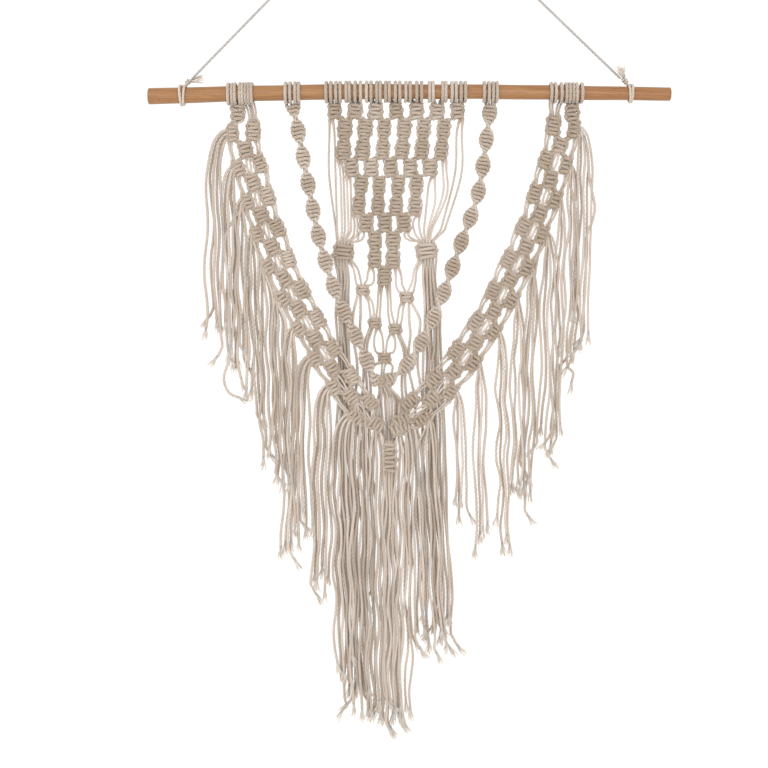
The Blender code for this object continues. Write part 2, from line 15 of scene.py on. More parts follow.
import bpy
import numpy as np
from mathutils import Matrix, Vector


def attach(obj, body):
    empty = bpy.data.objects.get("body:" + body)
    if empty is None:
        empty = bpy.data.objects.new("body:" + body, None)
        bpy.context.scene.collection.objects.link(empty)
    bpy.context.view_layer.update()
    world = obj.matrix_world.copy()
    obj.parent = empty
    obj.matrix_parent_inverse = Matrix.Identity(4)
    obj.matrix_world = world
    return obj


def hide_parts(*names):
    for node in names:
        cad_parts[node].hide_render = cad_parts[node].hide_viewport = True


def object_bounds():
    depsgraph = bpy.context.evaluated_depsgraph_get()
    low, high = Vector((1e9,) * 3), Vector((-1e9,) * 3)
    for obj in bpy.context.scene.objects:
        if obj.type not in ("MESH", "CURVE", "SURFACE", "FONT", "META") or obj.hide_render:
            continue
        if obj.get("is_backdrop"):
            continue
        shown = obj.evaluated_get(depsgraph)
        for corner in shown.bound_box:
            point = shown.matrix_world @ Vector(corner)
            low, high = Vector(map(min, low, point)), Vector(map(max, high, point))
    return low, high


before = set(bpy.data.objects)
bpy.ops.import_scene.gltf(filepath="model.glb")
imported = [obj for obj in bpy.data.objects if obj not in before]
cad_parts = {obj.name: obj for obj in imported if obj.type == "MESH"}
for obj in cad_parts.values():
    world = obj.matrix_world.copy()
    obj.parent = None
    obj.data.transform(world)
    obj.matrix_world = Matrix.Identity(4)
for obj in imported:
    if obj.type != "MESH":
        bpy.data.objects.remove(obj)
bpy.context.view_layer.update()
MM = 0.001
print("nodes:", ", ".join(sorted(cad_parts)))

# %% [markdown]
# ## Camera
#
# A hanging is looked at straight on, from the height of its middle. A long lens from 1.5 m
# keeps the rod and the fringe in one plane, with hardly any perspective. The camera comes
# before the pieces because the hanging cord's loop lies above its view, and the frame
# measures how far such a cord reaches outside that view.

# %% Camera
VIEW_MIDDLE = (-14.9, 0.0, -514.0)     # mm, the point in the centre of the view
VIEW_DISTANCE = 1.5                    # metres in front of it
VIEW_WIDTH = 0.7327                    # metres that the view spans at that distance
SENSOR = 36.0                          # mm, the width of a full-frame sensor

camera = bpy.data.objects.new("camera", bpy.data.cameras.new("camera"))
camera.data.sensor_width = SENSOR
camera.data.lens = SENSOR * VIEW_DISTANCE / VIEW_WIDTH
camera.location = Vector(VIEW_MIDDLE) * MM - Vector((0.0, VIEW_DISTANCE, 0.0))
camera.rotation_euler = (math.radians(90.0), 0.0, 0.0)
bpy.context.scene.collection.objects.link(camera)
bpy.context.scene.camera = camera
print(f"lens {camera.data.lens:.1f} mm")

# %% [markdown]
# ## A cord as a mesh
#
# Macrame cord is three plies of cotton laid round each other. A plain round tube would look
# like wire, so the section here has three lobes with a groove between them, and it turns as
# it runs along the cord: one full turn in about four thicknesses. The mesh edges follow the
# plies, so that a coarse mesh still shows the twist.
#
# A curve object with a bevel can't turn its section this evenly over thousands of bends, so
# the rings are worked out with numpy: even steps along the route, a direction carried from
# ring to ring without spinning, and the lay of the plies added to it.

# %% From a route of points to even steps
FREE, HANGING = 1.22, 1.5              # mm, the cord's radius when it carries work or only itself
KNOTTED, ON_ROD = 1.8, 1.72            # and where it is squashed in a knot or on the rod
FINE = 0.5                             # mm, the samples in which a route is smoothed
SMOOTHING = 5                          # samples that are averaged, as limp cord has no kinks
SAME_PLACE = 1e-4                      # mm; points closer than this are one point
WIDER_WHEN_THIN = 1.4                  # power of the radius by which the steps grow


def distances(points):
    """How far along the route each of its points lies."""
    return np.append(0.0, np.cumsum(np.linalg.norm(np.diff(points[:, :3], axis=0), axis=1)))


def resampled(points, along, spacing):
    """The route at equal steps of this measure along it."""
    places = np.linspace(0.0, along[-1], max(4, round(along[-1] / spacing)))
    return np.column_stack([np.interp(places, along, column) for column in points.T])


def even_steps(route, step):
    """The same route with its corners eased, in steps of about step mm where it is thick.

    Each point is x, y, z and the cord's radius. Steps grow where the cord is thin, which is
    where it hangs free and bends little.
    """
    points = np.asarray(route, float)
    points = points[np.append(True, np.diff(distances(points)) > SAME_PLACE)]
    points = resampled(points, distances(points), FINE)
    side = SMOOTHING // 2
    for _ in range(2):
        padded = np.vstack([2 * points[0] - points[side:0:-1], points,
                            2 * points[-1] - points[-2:-side - 2:-1]])
        points = np.column_stack([np.convolve(column, np.ones(SMOOTHING) / SMOOTHING, "valid")
                                  for column in padded.T])
    pace = np.diff(distances(points)) * (points[1:, 3] / KNOTTED) ** WIDER_WHEN_THIN
    return resampled(points, np.append(0.0, np.cumsum(pace)), step)


print("thickness of a cord, free, hanging and knotted, mm:", 2 * FREE, 2 * HANGING, 2 * KNOTTED)

# %% The section of a three-ply cord
PLIES = 3
PLY_CORNERS = ((-60.0, 0.85), (-21.0, 1.0), (21.0, 1.0))   # degrees from the ply's crest, radius
LAY_LENGTH = 13.0                      # mm for one full turn of the plies
section_angles = np.radians([120.0 * ply + a for ply in range(PLIES) for a, _ in PLY_CORNERS])
section_radii = np.array([r for _ in range(PLIES) for _, r in PLY_CORNERS])
section_grooves = (section_radii < 1.0).astype(float)
SIDES = len(section_angles)


def carried_directions(points):
    """A direction across the cord at each ring, carried along it without spinning."""
    ahead = np.gradient(points, axis=0)
    ahead /= np.linalg.norm(ahead, axis=1)[:, None]
    tangents = [Vector(t) for t in ahead]
    across = tangents[0].orthogonal().normalized()
    carried = []
    for tangent in tangents:
        across = (across - tangent * across.dot(tangent)).normalized()
        carried.append(across)
    across = np.array(carried)
    return across, np.cross(ahead, across)


def rings_round(points, angles, reach):
    """A ring of points round each point of a line, at these angles and distances from it."""
    across, beside = carried_directions(points)
    return (points[:, None, :] + across[:, None, :] * (np.cos(angles) * reach)[:, :, None]
            + beside[:, None, :] * (np.sin(angles) * reach)[:, :, None])


def cord_rings(points, radii, start):
    """The rings of a twisted cord, and the distance of each ring along it."""
    along = distances(points)
    lay = start + 2 * math.pi * along / LAY_LENGTH
    return rings_round(points, section_angles[None, :] + lay[:, None],
                       section_radii[None, :] * radii[:, None]), along


print(f"{SIDES} points round a cord")

# %% [markdown]
# ## Strands, and how they are drawn
#
# A strand is the route of half a cord, from the middle of its loop on the rod to its end. The
# knots below add points to it. The drawn piece then joins the rings of all its strands in one
# mesh, with three attributes that the finish reads: where a point lies on the cord, whether it is
# in a groove between two plies, where the finish paints shade, and a tint of the cord's own.
#
# Soft cotton cord has no fixed thickness. The work below draws it thin where it runs free, a
# fringe that carries only itself stays thicker, and a knot squashes it wide. That difference
# makes knots look plump, so every point of a route carries its own radius.

# %% Strands
class Strand:
    """The route of half a cord: x, y, z and the cord's radius at each point, in mm."""

    def __init__(self, *points, radius=FREE, frayed=False):
        self.radius = radius
        self.frayed = frayed
        self.route = [(*point, radius) for point in points]

    def end(self):
        return self.route[-1][:3]

    def parted(self):
        """A cord that goes on from the end of this one and carries only itself."""
        return Strand(*(point[:3] for point in self.route[-3:]), radius=HANGING)

    def lead(self, point, radius=0.0):
        """Runs straight on to a point."""
        self.route.append((*point, radius or self.radius))

    def swing(self, *points, radius=0.0):
        """Runs on through these points in one smooth curve."""
        ends = [self.route[max(-3, -len(self.route))], self.route[-1],
                *((*point, radius or self.radius) for point in points)]
        ends = np.array([*ends, 2 * np.array(ends[-1]) - np.array(ends[-2])], float)
        for a, b, c, d in zip(ends, ends[1:], ends[2:], ends[3:]):
            count = max(4, int(np.linalg.norm(c - b) / 2.5))
            for t in np.arange(1, count + 1) / count:
                self.route.append(tuple(0.5 * (
                    2 * b + (c - a) * t + (2 * a - 5 * b + 4 * c - d) * t * t
                    + (3 * b - a - 3 * c + d) * t ** 3)))
        return self


def vary(*keys):
    """A fixed spread between -1 and 1 for each set of numbers, so that like strands differ."""
    mixed = sum(key * step for key, step in zip(keys, (12.9898, 78.233, 37.719, 4.581)))
    return 2 * ((math.sin(mixed) * 43758.5453) % 1.0) - 1


def blended(a, b, t):
    return tuple(p + (q - p) * t for p, q in zip(a, b))


# %% Draw the strands of a piece as one mesh
def skin(name, runs):
    """One object from many runs of rings. A run is its rings, lay, grooves, and tint by ring."""
    vertices, corners, sizes, lays, grooves, tints = [], [], [], [], [], []
    first = 0
    for rings, lay, groove, tint in runs:
        count, sides = rings.shape[:2]
        index = first + np.arange(count * sides).reshape(count, sides)
        beside = np.roll(index, -1, axis=1)
        faces = np.stack([index[:-1], beside[:-1], beside[1:], index[1:]], axis=-1)
        corners += [faces.reshape(-1), index[0, ::-1], index[-1]]
        sizes += [np.full((count - 1) * sides, 4), [sides, sides]]
        vertices.append(rings.reshape(-1, 3))
        lays.append(lay.reshape(-1, 3))
        grooves.append(np.tile(groove, count))
        tints.append(np.repeat(tint, sides))
        first += count * sides
    vertices, corners, sizes = (np.concatenate(part) for part in (vertices, corners, sizes))
    mesh = bpy.data.meshes.new(name)
    mesh.vertices.add(len(vertices))
    mesh.vertices.foreach_set("co", (vertices * MM).ravel())
    mesh.loops.add(len(corners))
    mesh.loops.foreach_set("vertex_index", corners)
    mesh.polygons.add(len(sizes))
    mesh.polygons.foreach_set("loop_start", np.append(0, np.cumsum(sizes)[:-1]))
    mesh.update(calc_edges=True)
    mesh.shade_smooth()
    for label, kind, field, parts in (("lay", "FLOAT_VECTOR", "vector", lays),
                                      ("groove", "FLOAT", "value", grooves),
                                      ("tint", "FLOAT", "value", tints)):
        layer = mesh.attributes.new(label, kind, "POINT")
        layer.data.foreach_set(field, np.concatenate(parts).ravel())
    made = bpy.data.objects.new(name, mesh)
    bpy.context.scene.collection.objects.link(made)
    triangles = int(np.sum(sizes - 2))
    print(f"{name}: {len(runs)} runs, {triangles} triangles")
    return made


SQUASHED_TINT = 1.1                          # how far squashed cord is tinted towards the greyer tone, free cord towards the crest
BLUNT = 0.35                           # share of its radius to which a cord narrows at its ends
KEY_TURN = 2.1                         # radians by which the plies of one cord and the next differ
KEY_SHIFT = 137.0                      # mm between their places in the fibres' noise


def plied_run(strand, step, key):
    """A strand as the rings of a twisted cord, closed to a blunt point at both ends.

    Where a cord is squashed in a knot it is tinted greyer and duller, elsewhere paler.
    """
    route = even_steps(strand.route, step)
    points, radii = route[:, :3], route[:, 3]
    squashed = np.clip((radii - FREE) / (KNOTTED - FREE), 0.0, 1.0) ** 3
    radii[[0, -1]] *= BLUNT
    rings, along = cord_rings(points, radii, KEY_TURN * key)
    flat = np.stack([np.cos(section_angles), np.sin(section_angles)], axis=-1) * np.mean(radii)
    lay = np.empty(rings.shape)
    lay[:, :, :2] = flat[None, :, :]
    lay[:, :, 2] = along[:, None] + KEY_SHIFT * key
    return rings, lay, section_grooves, vary(key, 5) + SQUASHED_TINT * (2 * squashed - 1)


TIP_YARNS = 11
TIP_LENGTH = 9.0                       # mm
TIP_SPREAD = 2.6                       # mm that the yarns spread beyond the cord's own radius
YARN_RADII = (0.78, 0.34)              # mm, where a yarn leaves the cord and at its end
YARN_STEP = 0.9
YARN_ANGLES = np.radians([0.0, 90.0, 180.0, 270.0])
PALE = -2.0                            # their tint: loose fibres look paler than the cord


def frayed_runs(strand, key):
    """The loosened fibres at the end of a cord: a few thin yarns that spread like a brush."""
    end, before = np.array(strand.end()), np.array(strand.route[-6][:3])
    way = (end - before) / np.linalg.norm(end - before)
    side = np.cross(way, (0.0, 1.0, 0.0))
    side /= np.linalg.norm(side)
    deep = np.cross(way, side)
    runs = []
    for i in range(TIP_YARNS):
        angle = 2 * math.pi * (i + 0.4 * vary(key, i, 1)) / TIP_YARNS
        spread = TIP_SPREAD * (0.6 + 0.6 * vary(key, i, 2)) * (0.0 if i == 0 else 1.0)
        length = TIP_LENGTH * (1 + 0.3 * vary(key, i, 3))
        out = side * math.cos(angle) + deep * 0.7 * math.sin(angle)
        route = [end - way * 2.5 + out * 0.55, end + out * 0.75,
                 end + way * 0.5 * length + out * (0.9 + 0.6 * spread),
                 end + way * length + out * (0.9 + spread) + side * 1.2 * vary(key, 9)]
        points = even_steps(Strand(*route[:2]).swing(*route[2:]).route, YARN_STEP)[:, :3]
        radii = np.linspace(*YARN_RADII, len(points))
        rings = rings_round(points, YARN_ANGLES[None, :], radii[:, None])
        runs.append((rings, rings - end + 31.0 * key, np.zeros(len(YARN_ANGLES)),
                     np.full(len(rings), PALE)))
    return runs


def draw(name, strands, step, finish, slot, *nodes):
    """The piece made of these strands, in place of the plain solids of these nodes."""
    runs = [plied_run(strand, step, i + len(name)) for i, strand in enumerate(strands)]
    for i, strand in enumerate(strands):
        if strand.frayed:
            runs += frayed_runs(strand, i + len(name))
    made = skin(name, runs)
    made.data.materials.append(finish)
    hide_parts(*nodes)
    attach(made, "root")
    return made


# %% [markdown]
# ## Finishes
#
# The cord is unbleached cotton, three plies laid together. Raw cotton is matt and a little hairy,
# so its edges look soft and pale. A cord is so thin that some light passes through it, which fills
# its shaded side: subsurface scattering does that. Its colour wanders between cream and a greyer
# beige, from cord to cord and over about 40 mm of each, and is duller where a knot squashes it.
# The finish mixes three hex colours by the mesh's attributes and by noises whose sizes are real
# lengths. The darkest is painted shade in the grooves between the plies, and it also gives the
# fibres their own darker streaks.

# %% Helpers for finishes
def linear(hex_colour):
    """An sRGB hex colour as linear RGBA."""
    parts = [int(hex_colour[i:i + 2], 16) / 255 for i in (1, 3, 5)]
    return (*(p / 12.92 if p <= 0.04045 else ((p + 0.055) / 1.055) ** 2.4 for p in parts), 1.0)


def new_finish(name):
    """A material with only its shader, and that shader."""
    finish = bpy.data.materials.new(name)
    finish.use_nodes = True
    return finish, finish.node_tree, finish.node_tree.nodes["Principled BSDF"]


def set_values(node, values):
    """Gives sockets of a node their values."""
    for key, value in values.items():
        node.inputs[key].default_value = value


def add(tree, kind, settings=None, values=None, links=None):
    """Adds a node of this kind, with its settings, socket values and links from other sockets."""
    node = tree.nodes.new(kind)
    for key, value in (settings or {}).items():
        setattr(node, key, value)
    set_values(node, values or {})
    for key, source in (links or {}).items():
        tree.links.new(source, node.inputs[key])
    return node


MIX_A, MIX_B, MIXED = 6, 7, 2           # the colour sockets of a Mix node
print("half grey, #808080, is", round(linear("#808080")[0], 3), "of the light of white")

# %% Cotton cord
FIBRE_BUNDLE = 0.55                    # mm; real ones are nearer 0.2, drawn coarser to show
FIBRES_LIE_ALONG = 0.12                # their width as a share of their length
TONE_LENGTH = 42.0                     # mm
OWN_TONE = 0.22                        # how far a cord's tint moves it towards the greyer tone
GROOVE_PAINTED_SHADE = 0.26                       # painted shade: how far a groove between two plies is darkened
FIBRE_CONTRAST = 0.5                   # how much the fibres vary in darkness
COTTON = {                             # the shader: matt, soft at its edges, lets light through
    "Roughness": 0.92, "IOR": 1.53, "Specular IOR Level": 0.25,
    "Subsurface Weight": 0.55, "Subsurface Radius": (1.0, 0.8, 0.65), "Subsurface Scale": 0.0025,
    "Sheen Weight": 0.25, "Sheen Roughness": 0.6,
}


def cotton(name, crest, deep, tone):
    """Matt plied cotton. Colours: the plies' crests, painted shade in the grooves, a greyer tone.
    """
    finish, tree, shader = new_finish(name)
    lay = add(tree, "ShaderNodeAttribute", {"attribute_name": "lay"})
    groove = add(tree, "ShaderNodeAttribute", {"attribute_name": "groove"})
    tint = add(tree, "ShaderNodeAttribute", {"attribute_name": "tint"})
    stretched = add(tree, "ShaderNodeMapping", values={
        "Scale": (1 / FIBRE_BUNDLE, 1 / FIBRE_BUNDLE, FIBRES_LIE_ALONG / FIBRE_BUNDLE)},
        links={"Vector": lay.outputs["Vector"]})
    fibres = add(tree, "ShaderNodeTexNoise", values={"Scale": 1.0, "Detail": 3.0},
                 links={"Vector": stretched.outputs["Vector"]})
    place = add(tree, "ShaderNodeTexCoord")
    tones = add(tree, "ShaderNodeTexNoise", values={"Scale": 1000 / TONE_LENGTH, "Detail": 2.0},
                links={"Vector": place.outputs["Object"]})
    own = add(tree, "ShaderNodeMath", {"operation": "MULTIPLY_ADD"},
              {1: OWN_TONE}, {0: tint.outputs["Fac"], 2: tones.outputs["Fac"]})
    toned = add(tree, "ShaderNodeMix", {"data_type": "RGBA"},
                {MIX_A: linear(crest), MIX_B: linear(tone)}, {0: own.outputs[0]})
    groove_shade_and_fibres = add(tree, "ShaderNodeMath", {"operation": "MULTIPLY_ADD", "use_clamp": True},
               {1: GROOVE_PAINTED_SHADE}, {0: groove.outputs["Fac"]})
    fine = add(tree, "ShaderNodeMath", {"operation": "MULTIPLY_ADD"},
               {1: -FIBRE_CONTRAST, 2: FIBRE_CONTRAST / 2}, {0: fibres.outputs["Fac"]})
    tree.links.new(fine.outputs[0], groove_shade_and_fibres.inputs[2])
    # Painted shade: the grooves go towards the deep colour, and the fibres' noise darkens a little
    # too.
    shaded = add(tree, "ShaderNodeMix", {"data_type": "RGBA"}, {MIX_B: linear(deep)},
                 {MIX_A: toned.outputs[MIXED], 0: groove_shade_and_fibres.outputs[0]})
    relief = add(tree, "ShaderNodeBump", values={"Strength": 0.5, "Distance": 0.0003},
                 links={"Height": fibres.outputs["Fac"]})
    tree.links.new(shaded.outputs[MIXED], shader.inputs["Base Color"])
    tree.links.new(relief.outputs["Normal"], shader.inputs["Normal"])
    set_values(shader, COTTON)
    print(f"{name}: fibres {FIBRE_BUNDLE} mm, tone {TONE_LENGTH} mm")
    return finish


# The second colour of each is the painted shade in the grooves between plies.
unbleached_cotton = cotton("unbleached_cotton_three_ply", "#CEC1B5", "#73614E", "#A39280")
grey_twine = cotton("grey_cotton_twine", "#B2AFAC", "#7C7773", "#A19D9A")

# %% [markdown]
# ## The hanging cord
#
# A separate twine is tied round the rod near each end and meets in a loop over a nail, well above
# the work. Its two legs carry the whole weight, so they are taut and straight, and they are greyer
# than the cotton. They are drawn as cords, with their real length and thickness, from the tie to
# the loop's knot.

# %% The legs of the hanging cord
TWINE = 2.8                            # mm thick
TWINE_STEP = 1.5
LOOP_KNOT = (0.0, 0.0, -19.5)          # mm; the nail is at the origin
LEG_FEET = {"left": (-199.4, 0.0, -224.2), "right": (211.6, 0.0, -223.4)}
LEG_FROM_FOOT = 0.8                    # mm between the foot and the end of the leg
LEG_FROM_KNOT = 6.8                    # and between the other end and the middle of the knot

for side, foot in LEG_FEET.items():
    foot, knot = Vector(foot), Vector(LOOP_KNOT)
    way = (knot - foot).normalized()
    leg = Strand(foot + way * LEG_FROM_FOOT, knot - way * LEG_FROM_KNOT, radius=TWINE / 2)
    piece = draw("hanger_leg_" + side, [leg], TWINE_STEP, grey_twine, "hanging_cord",
                 "hanger_" + side)
    print(f"leg {side}: {distances(np.array(leg.route))[-1] * MM:.3f} m")

# %% The loop on the nail and its knot
LOOP_RADIUS = 7.4
KNOT_TURNS = 3.2                       # turns of the twine round the three cords of the knot
KNOT_TOP, KNOT_FOOT = -14.6, -23.4     # mm
KNOT_RADIUS = 3.3
IN_KNOT = 6.4                          # mm of each leg, from the knot's middle, drawn with it


def loop_and_knot():
    """The loop, its two ends inside the knot, and the turns that hold them."""
    loop = [(LOOP_RADIUS * math.sin(a), 0.6 * math.sin(2 * a),
             LOOP_RADIUS * math.cos(a) - LOOP_RADIUS)
            for a in np.radians(np.arange(-150.0, 151.0, 10.0))]
    loop = [(-1.2, 0.5, KNOT_FOOT)] + loop + [(1.2, -0.5, KNOT_FOOT)]
    knot = Vector(LOOP_KNOT)
    ends = [Strand(knot, knot - (knot - Vector(foot)).normalized() * IN_KNOT, radius=TWINE / 2)
            for foot in LEG_FEET.values()]
    turns = [(KNOT_RADIUS * math.cos(a), 0.8 * KNOT_RADIUS * math.sin(a),
              KNOT_TOP + (KNOT_FOOT - KNOT_TOP) * a / (2 * math.pi * KNOT_TURNS))
             for a in np.arange(0.0, 2 * math.pi * KNOT_TURNS, 0.35)]
    return [Strand(*loop, radius=TWINE / 2), Strand(*turns, radius=TWINE / 2), *ends]


hanger_loop = draw("hanger_loop_knot", loop_and_knot(), 1.0, grey_twine, "hanging_cord",
                   "hanger_loop")

# %% [markdown]
# ## The rod
#
# A beech dowel, about 16 mm thick at one end and 13 at the other, slightly bowed, sawn off
# square and varnished. It could be a cylinder, but a real stick is never quite round: here
# its rings follow the thickness at six places and carry two waves of a tenth of a millimetre,
# and the edge of each sawn end is broken.

# %% The rod
ROD_STATIONS = (                       # x, height of the centre, radius, in mm
    (-239.7, -239.6, 7.85),
    (-150.0, -236.9, 7.6),
    (-40.0, -235.0, 7.35),
    (80.0, -235.2, 7.1),
    (170.0, -236.2, 6.85),
    (258.4, -237.4, 6.6),
)
ROD_STEP = 2.0                         # mm
ROD_SIDES = 48
ROD_WAVE = 0.10                        # mm
ROD_WAVES = ((0.031, 2, 0.0), (0.083, -3, 1.0))     # radians a mm, times round the rod, start
ROD_EDGE = 0.7                         # mm, the broken edge of a sawn end
station_x, station_z, station_r = np.array(ROD_STATIONS).T


def rod_at(x):
    """Centre height and radius of the rod at x."""
    return float(np.interp(x, station_x, station_z)), float(np.interp(x, station_x, station_r))


def rod_rings():
    """The rings of points of the rod, closer together at the broken edges of its ends."""
    ends = [station_x[0], station_x[0] + ROD_EDGE * 0.3, station_x[0] + ROD_EDGE]
    places = np.concatenate([ends, np.arange(station_x[0] + ROD_STEP, station_x[-1] - 1, ROD_STEP),
                             [station_x[-1] - e + station_x[0] for e in reversed(ends)]])
    angles = 2 * np.pi * np.arange(ROD_SIDES) / ROD_SIDES
    rings = []
    for x in places:
        height, radius = rod_at(x)
        inset = max(0.0, ROD_EDGE - min(x - station_x[0], station_x[-1] - x))
        wave = ROD_WAVE * sum(np.sin(slow * x + times * angles + start)
                              for slow, times, start in ROD_WAVES)
        reach = radius - inset + wave - 2 * ROD_WAVE
        rings.append(np.column_stack([np.full(ROD_SIDES, x), reach * np.cos(angles),
                                      height + reach * np.sin(angles)]))
    return np.array(rings)


def varnished_wood():
    """The golden varnished dowel, with a fine long grain and a few brown flecks."""
    finish, tree, shader = new_finish("varnished_beech_dowel")
    place = add(tree, "ShaderNodeTexCoord")
    along = add(tree, "ShaderNodeMapping", values={"Scale": (9.0, 260.0, 260.0)},
                links={"Vector": place.outputs["Object"]})   # fine grain, long and narrow
    grain = add(tree, "ShaderNodeTexNoise", values={"Scale": 4.0, "Detail": 5.0,
                "Roughness": 0.65}, links={"Vector": along.outputs["Vector"]})
    wide = add(tree, "ShaderNodeMapping", values={"Scale": (4.0, 60.0, 60.0)},
               links={"Vector": place.outputs["Object"]})    # and broad bands of tone
    bands = add(tree, "ShaderNodeTexNoise", values={"Scale": 1.6, "Detail": 2.0,
                "Distortion": 0.6}, links={"Vector": wide.outputs["Vector"]})
    ramp = add(tree, "ShaderNodeValToRGB", links={"Fac": grain.outputs["Fac"]})
    ramp.color_ramp.elements[0].position, ramp.color_ramp.elements[1].position = 0.33, 0.66
    ramp.color_ramp.elements[0].color = linear("#8D663D")
    ramp.color_ramp.elements[1].color = linear("#AB8458")
    toned = add(tree, "ShaderNodeMix", {"data_type": "RGBA", "blend_type": "MULTIPLY"},
                {MIX_B: linear("#D9B38C")}, {MIX_A: ramp.outputs["Color"],
                                             0: bands.outputs["Fac"]})
    flecks = add(tree, "ShaderNodeTexVoronoi", values={"Scale": 210.0},
                 links={"Vector": place.outputs["Object"]})
    spots = add(tree, "ShaderNodeMath", {"operation": "LESS_THAN"}, {1: 0.16},
                {0: flecks.outputs["Distance"]})
    where = add(tree, "ShaderNodeTexNoise", values={"Scale": 28.0, "Detail": 0.0},
                links={"Vector": place.outputs["Object"]})
    patch = add(tree, "ShaderNodeMath", {"operation": "GREATER_THAN"}, {1: 0.57},
                {0: where.outputs["Fac"]})
    flecked = add(tree, "ShaderNodeMath", {"operation": "MULTIPLY"},
                  links={0: spots.outputs[0], 1: patch.outputs[0]})
    spotted = add(tree, "ShaderNodeMix", {"data_type": "RGBA"}, {MIX_B: linear("#8A5A30")},
                  {MIX_A: toned.outputs[MIXED], 0: flecked.outputs[0]})
    relief = add(tree, "ShaderNodeBump", values={"Strength": 0.25, "Distance": 0.0002},
                 links={"Height": grain.outputs["Fac"]})
    tree.links.new(spotted.outputs[MIXED], shader.inputs["Base Color"])
    tree.links.new(relief.outputs["Normal"], shader.inputs["Normal"])
    set_values(shader, {"Roughness": 0.42, "IOR": 1.5})
    return finish


def sawn_wood():
    """The end grain, pale and matt. The centre of its growth rings lies outside the rod."""
    finish, tree, shader = new_finish("sawn_end_grain")
    place = add(tree, "ShaderNodeTexCoord")
    centred = add(tree, "ShaderNodeMapping", values={"Location": (0.0, 0.02, 0.245),
                  "Scale": (0.0, 1.0, 1.0)}, links={"Vector": place.outputs["Object"]})
    rings = add(tree, "ShaderNodeTexWave", {"wave_type": "RINGS", "rings_direction": "X"},
                {"Scale": 180.0, "Distortion": 1.5, "Detail": 2.0},
                {"Vector": centred.outputs["Vector"]})            # growth rings about 1.8 mm
    ramp = add(tree, "ShaderNodeValToRGB", links={"Fac": rings.outputs["Fac"]})
    ramp.color_ramp.elements[0].color = linear("#C99E70")
    ramp.color_ramp.elements[1].color = linear("#DDB98E")
    tree.links.new(ramp.outputs["Color"], shader.inputs["Base Color"])
    set_values(shader, {"Roughness": 0.75})
    return finish


rings = rod_rings()
rod = skin("rod_dowel", [(rings, rings, np.zeros(ROD_SIDES), np.zeros(len(rings)))])
rod.data.materials.append(varnished_wood())
rod.data.materials.append(sawn_wood())
for face in rod.data.polygons:
    if len(face.vertices) > 4:         # a sawn end is the one face with more than four corners
        face.material_index = 1
        face.use_smooth = False
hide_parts("rod")
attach(rod, "root")

# %% [markdown]
# ## Ties
#
# The twine goes twice round the rod, is knotted on top and its ends are left short, frayed.
# Round the rod it is cleaner than along the legs, so it has the finish of the cotton.

# %% The ties
WRAP_GAP = 0.15                        # mm between the rod and the twine
LUMP_RADIUS = (2.0, 1.9)               # of the knot's turns, across the leg and in depth
LUMP_RISE = 2.5                        # mm from one turn of the knot to the next
LUMP_TURNS = 2.2
TIES = {
    # where the turns lie on top of the rod, the knot, its free ends
    "left": ((-209.6, -204.6), (-202.0, 0.0, -226.0),
             ((-197.0, -1.5, -225.5), (-197.5, 2.5, -223.5))),
    "right": ((218.6, 221.9), (215.4, 0.0, -225.2), ((212.0, -2.0, -220.5), (214.2, 1.8, -219.5))),
}


def tie(side):
    """Two turns round the rod, a small knot of two turns, and the free ends."""
    wraps, knot, ends = TIES[side]
    foot = Vector(LEG_FEET[side])
    way = (Vector(LOOP_KNOT) - foot).normalized()
    middle = sum(wraps) / 2
    turns = []
    for i, x in enumerate(wraps):
        for a in np.radians(np.arange(0.0, 360.0, 15.0)):
            height, radius = rod_at(x)
            reach = radius + WRAP_GAP + TWINE / 2
            inward = 0.3 * (1 - math.cos(a)) * (middle - x)
            turns.append((x + inward, -reach * math.sin(a), height + reach * math.cos(a)))
    height, radius = rod_at(wraps[-1])
    toward = -1 if side == "right" else 1
    if side == "right":
        turns = [(2 * middle - x, y, z) for x, y, z in turns]
    round_rod = Strand(*turns, radius=TWINE / 2 - 0.05)
    round_rod.swing((knot[0] - toward * 1.5, -0.5, height + radius + 1.6), knot)
    across = Vector((way.z, 0.0, -way.x))
    wide, deep = LUMP_RADIUS
    lump = [Vector(knot) + way * (a / (2 * math.pi) * LUMP_RISE - 2.2)
            + across * wide * math.cos(a) + Vector((0.0, deep * math.sin(a), 0.0))
            for a in np.arange(0.0, 2 * math.pi * LUMP_TURNS, 0.4)]
    strands = [round_rod, Strand(*lump, radius=1.3),
               Strand(Vector(knot) - way * 1.5, foot + way * 0.4, radius=TWINE / 2)]
    for end in ends:
        out = Strand(Vector(knot) + way * 1.0, frayed=True, radius=1.25)
        out.swing(blended(knot, end, 0.6), end)
        strands.append(out)
    return strands


for side in TIES:
    draw("tie_knot_" + side, tie(side), 1.1, unbleached_cotton, "hanging_cord", "tie_" + side)

# %% [markdown]
# ## Heads: how the cords sit on the rod
#
# Each cord is folded in half and hung on the rod with a reverse lark's head: from the front
# only two upright turns show, and the loop lies across the back, over the two strands that
# hang down. A head is therefore two strands that start in the middle of that loop.

# %% Lark's heads
HEADS = {                              # x of each head, in mm, from left to right
    "band_left": (-161.5, -154.5, -148.4, -142.6),
    "spiral_left": (-106.3, -98.2),
    "net": (-67.4, -58.8, -49.2, -39.9, -29.2, -20.2, -11.6, -2.0,
            7.5, 18.8, 30.0, 42.6, 51.4, 60.3),
    "spiral_right": (82.5, 91.0),
    "band_right": (146.2, 156.6, 164.0, 171.2),
}
HEAD_HALF = 2.0                        # from the middle of a head to each strand
HEAD_STEP = 12                         # degrees from one point of a head to the next
BAR_ANGLE = 25.0                       # degrees below the back of the rod where the loop crosses
BAR_SPREAD = 45                        # degrees over which the loop settles on to the rod


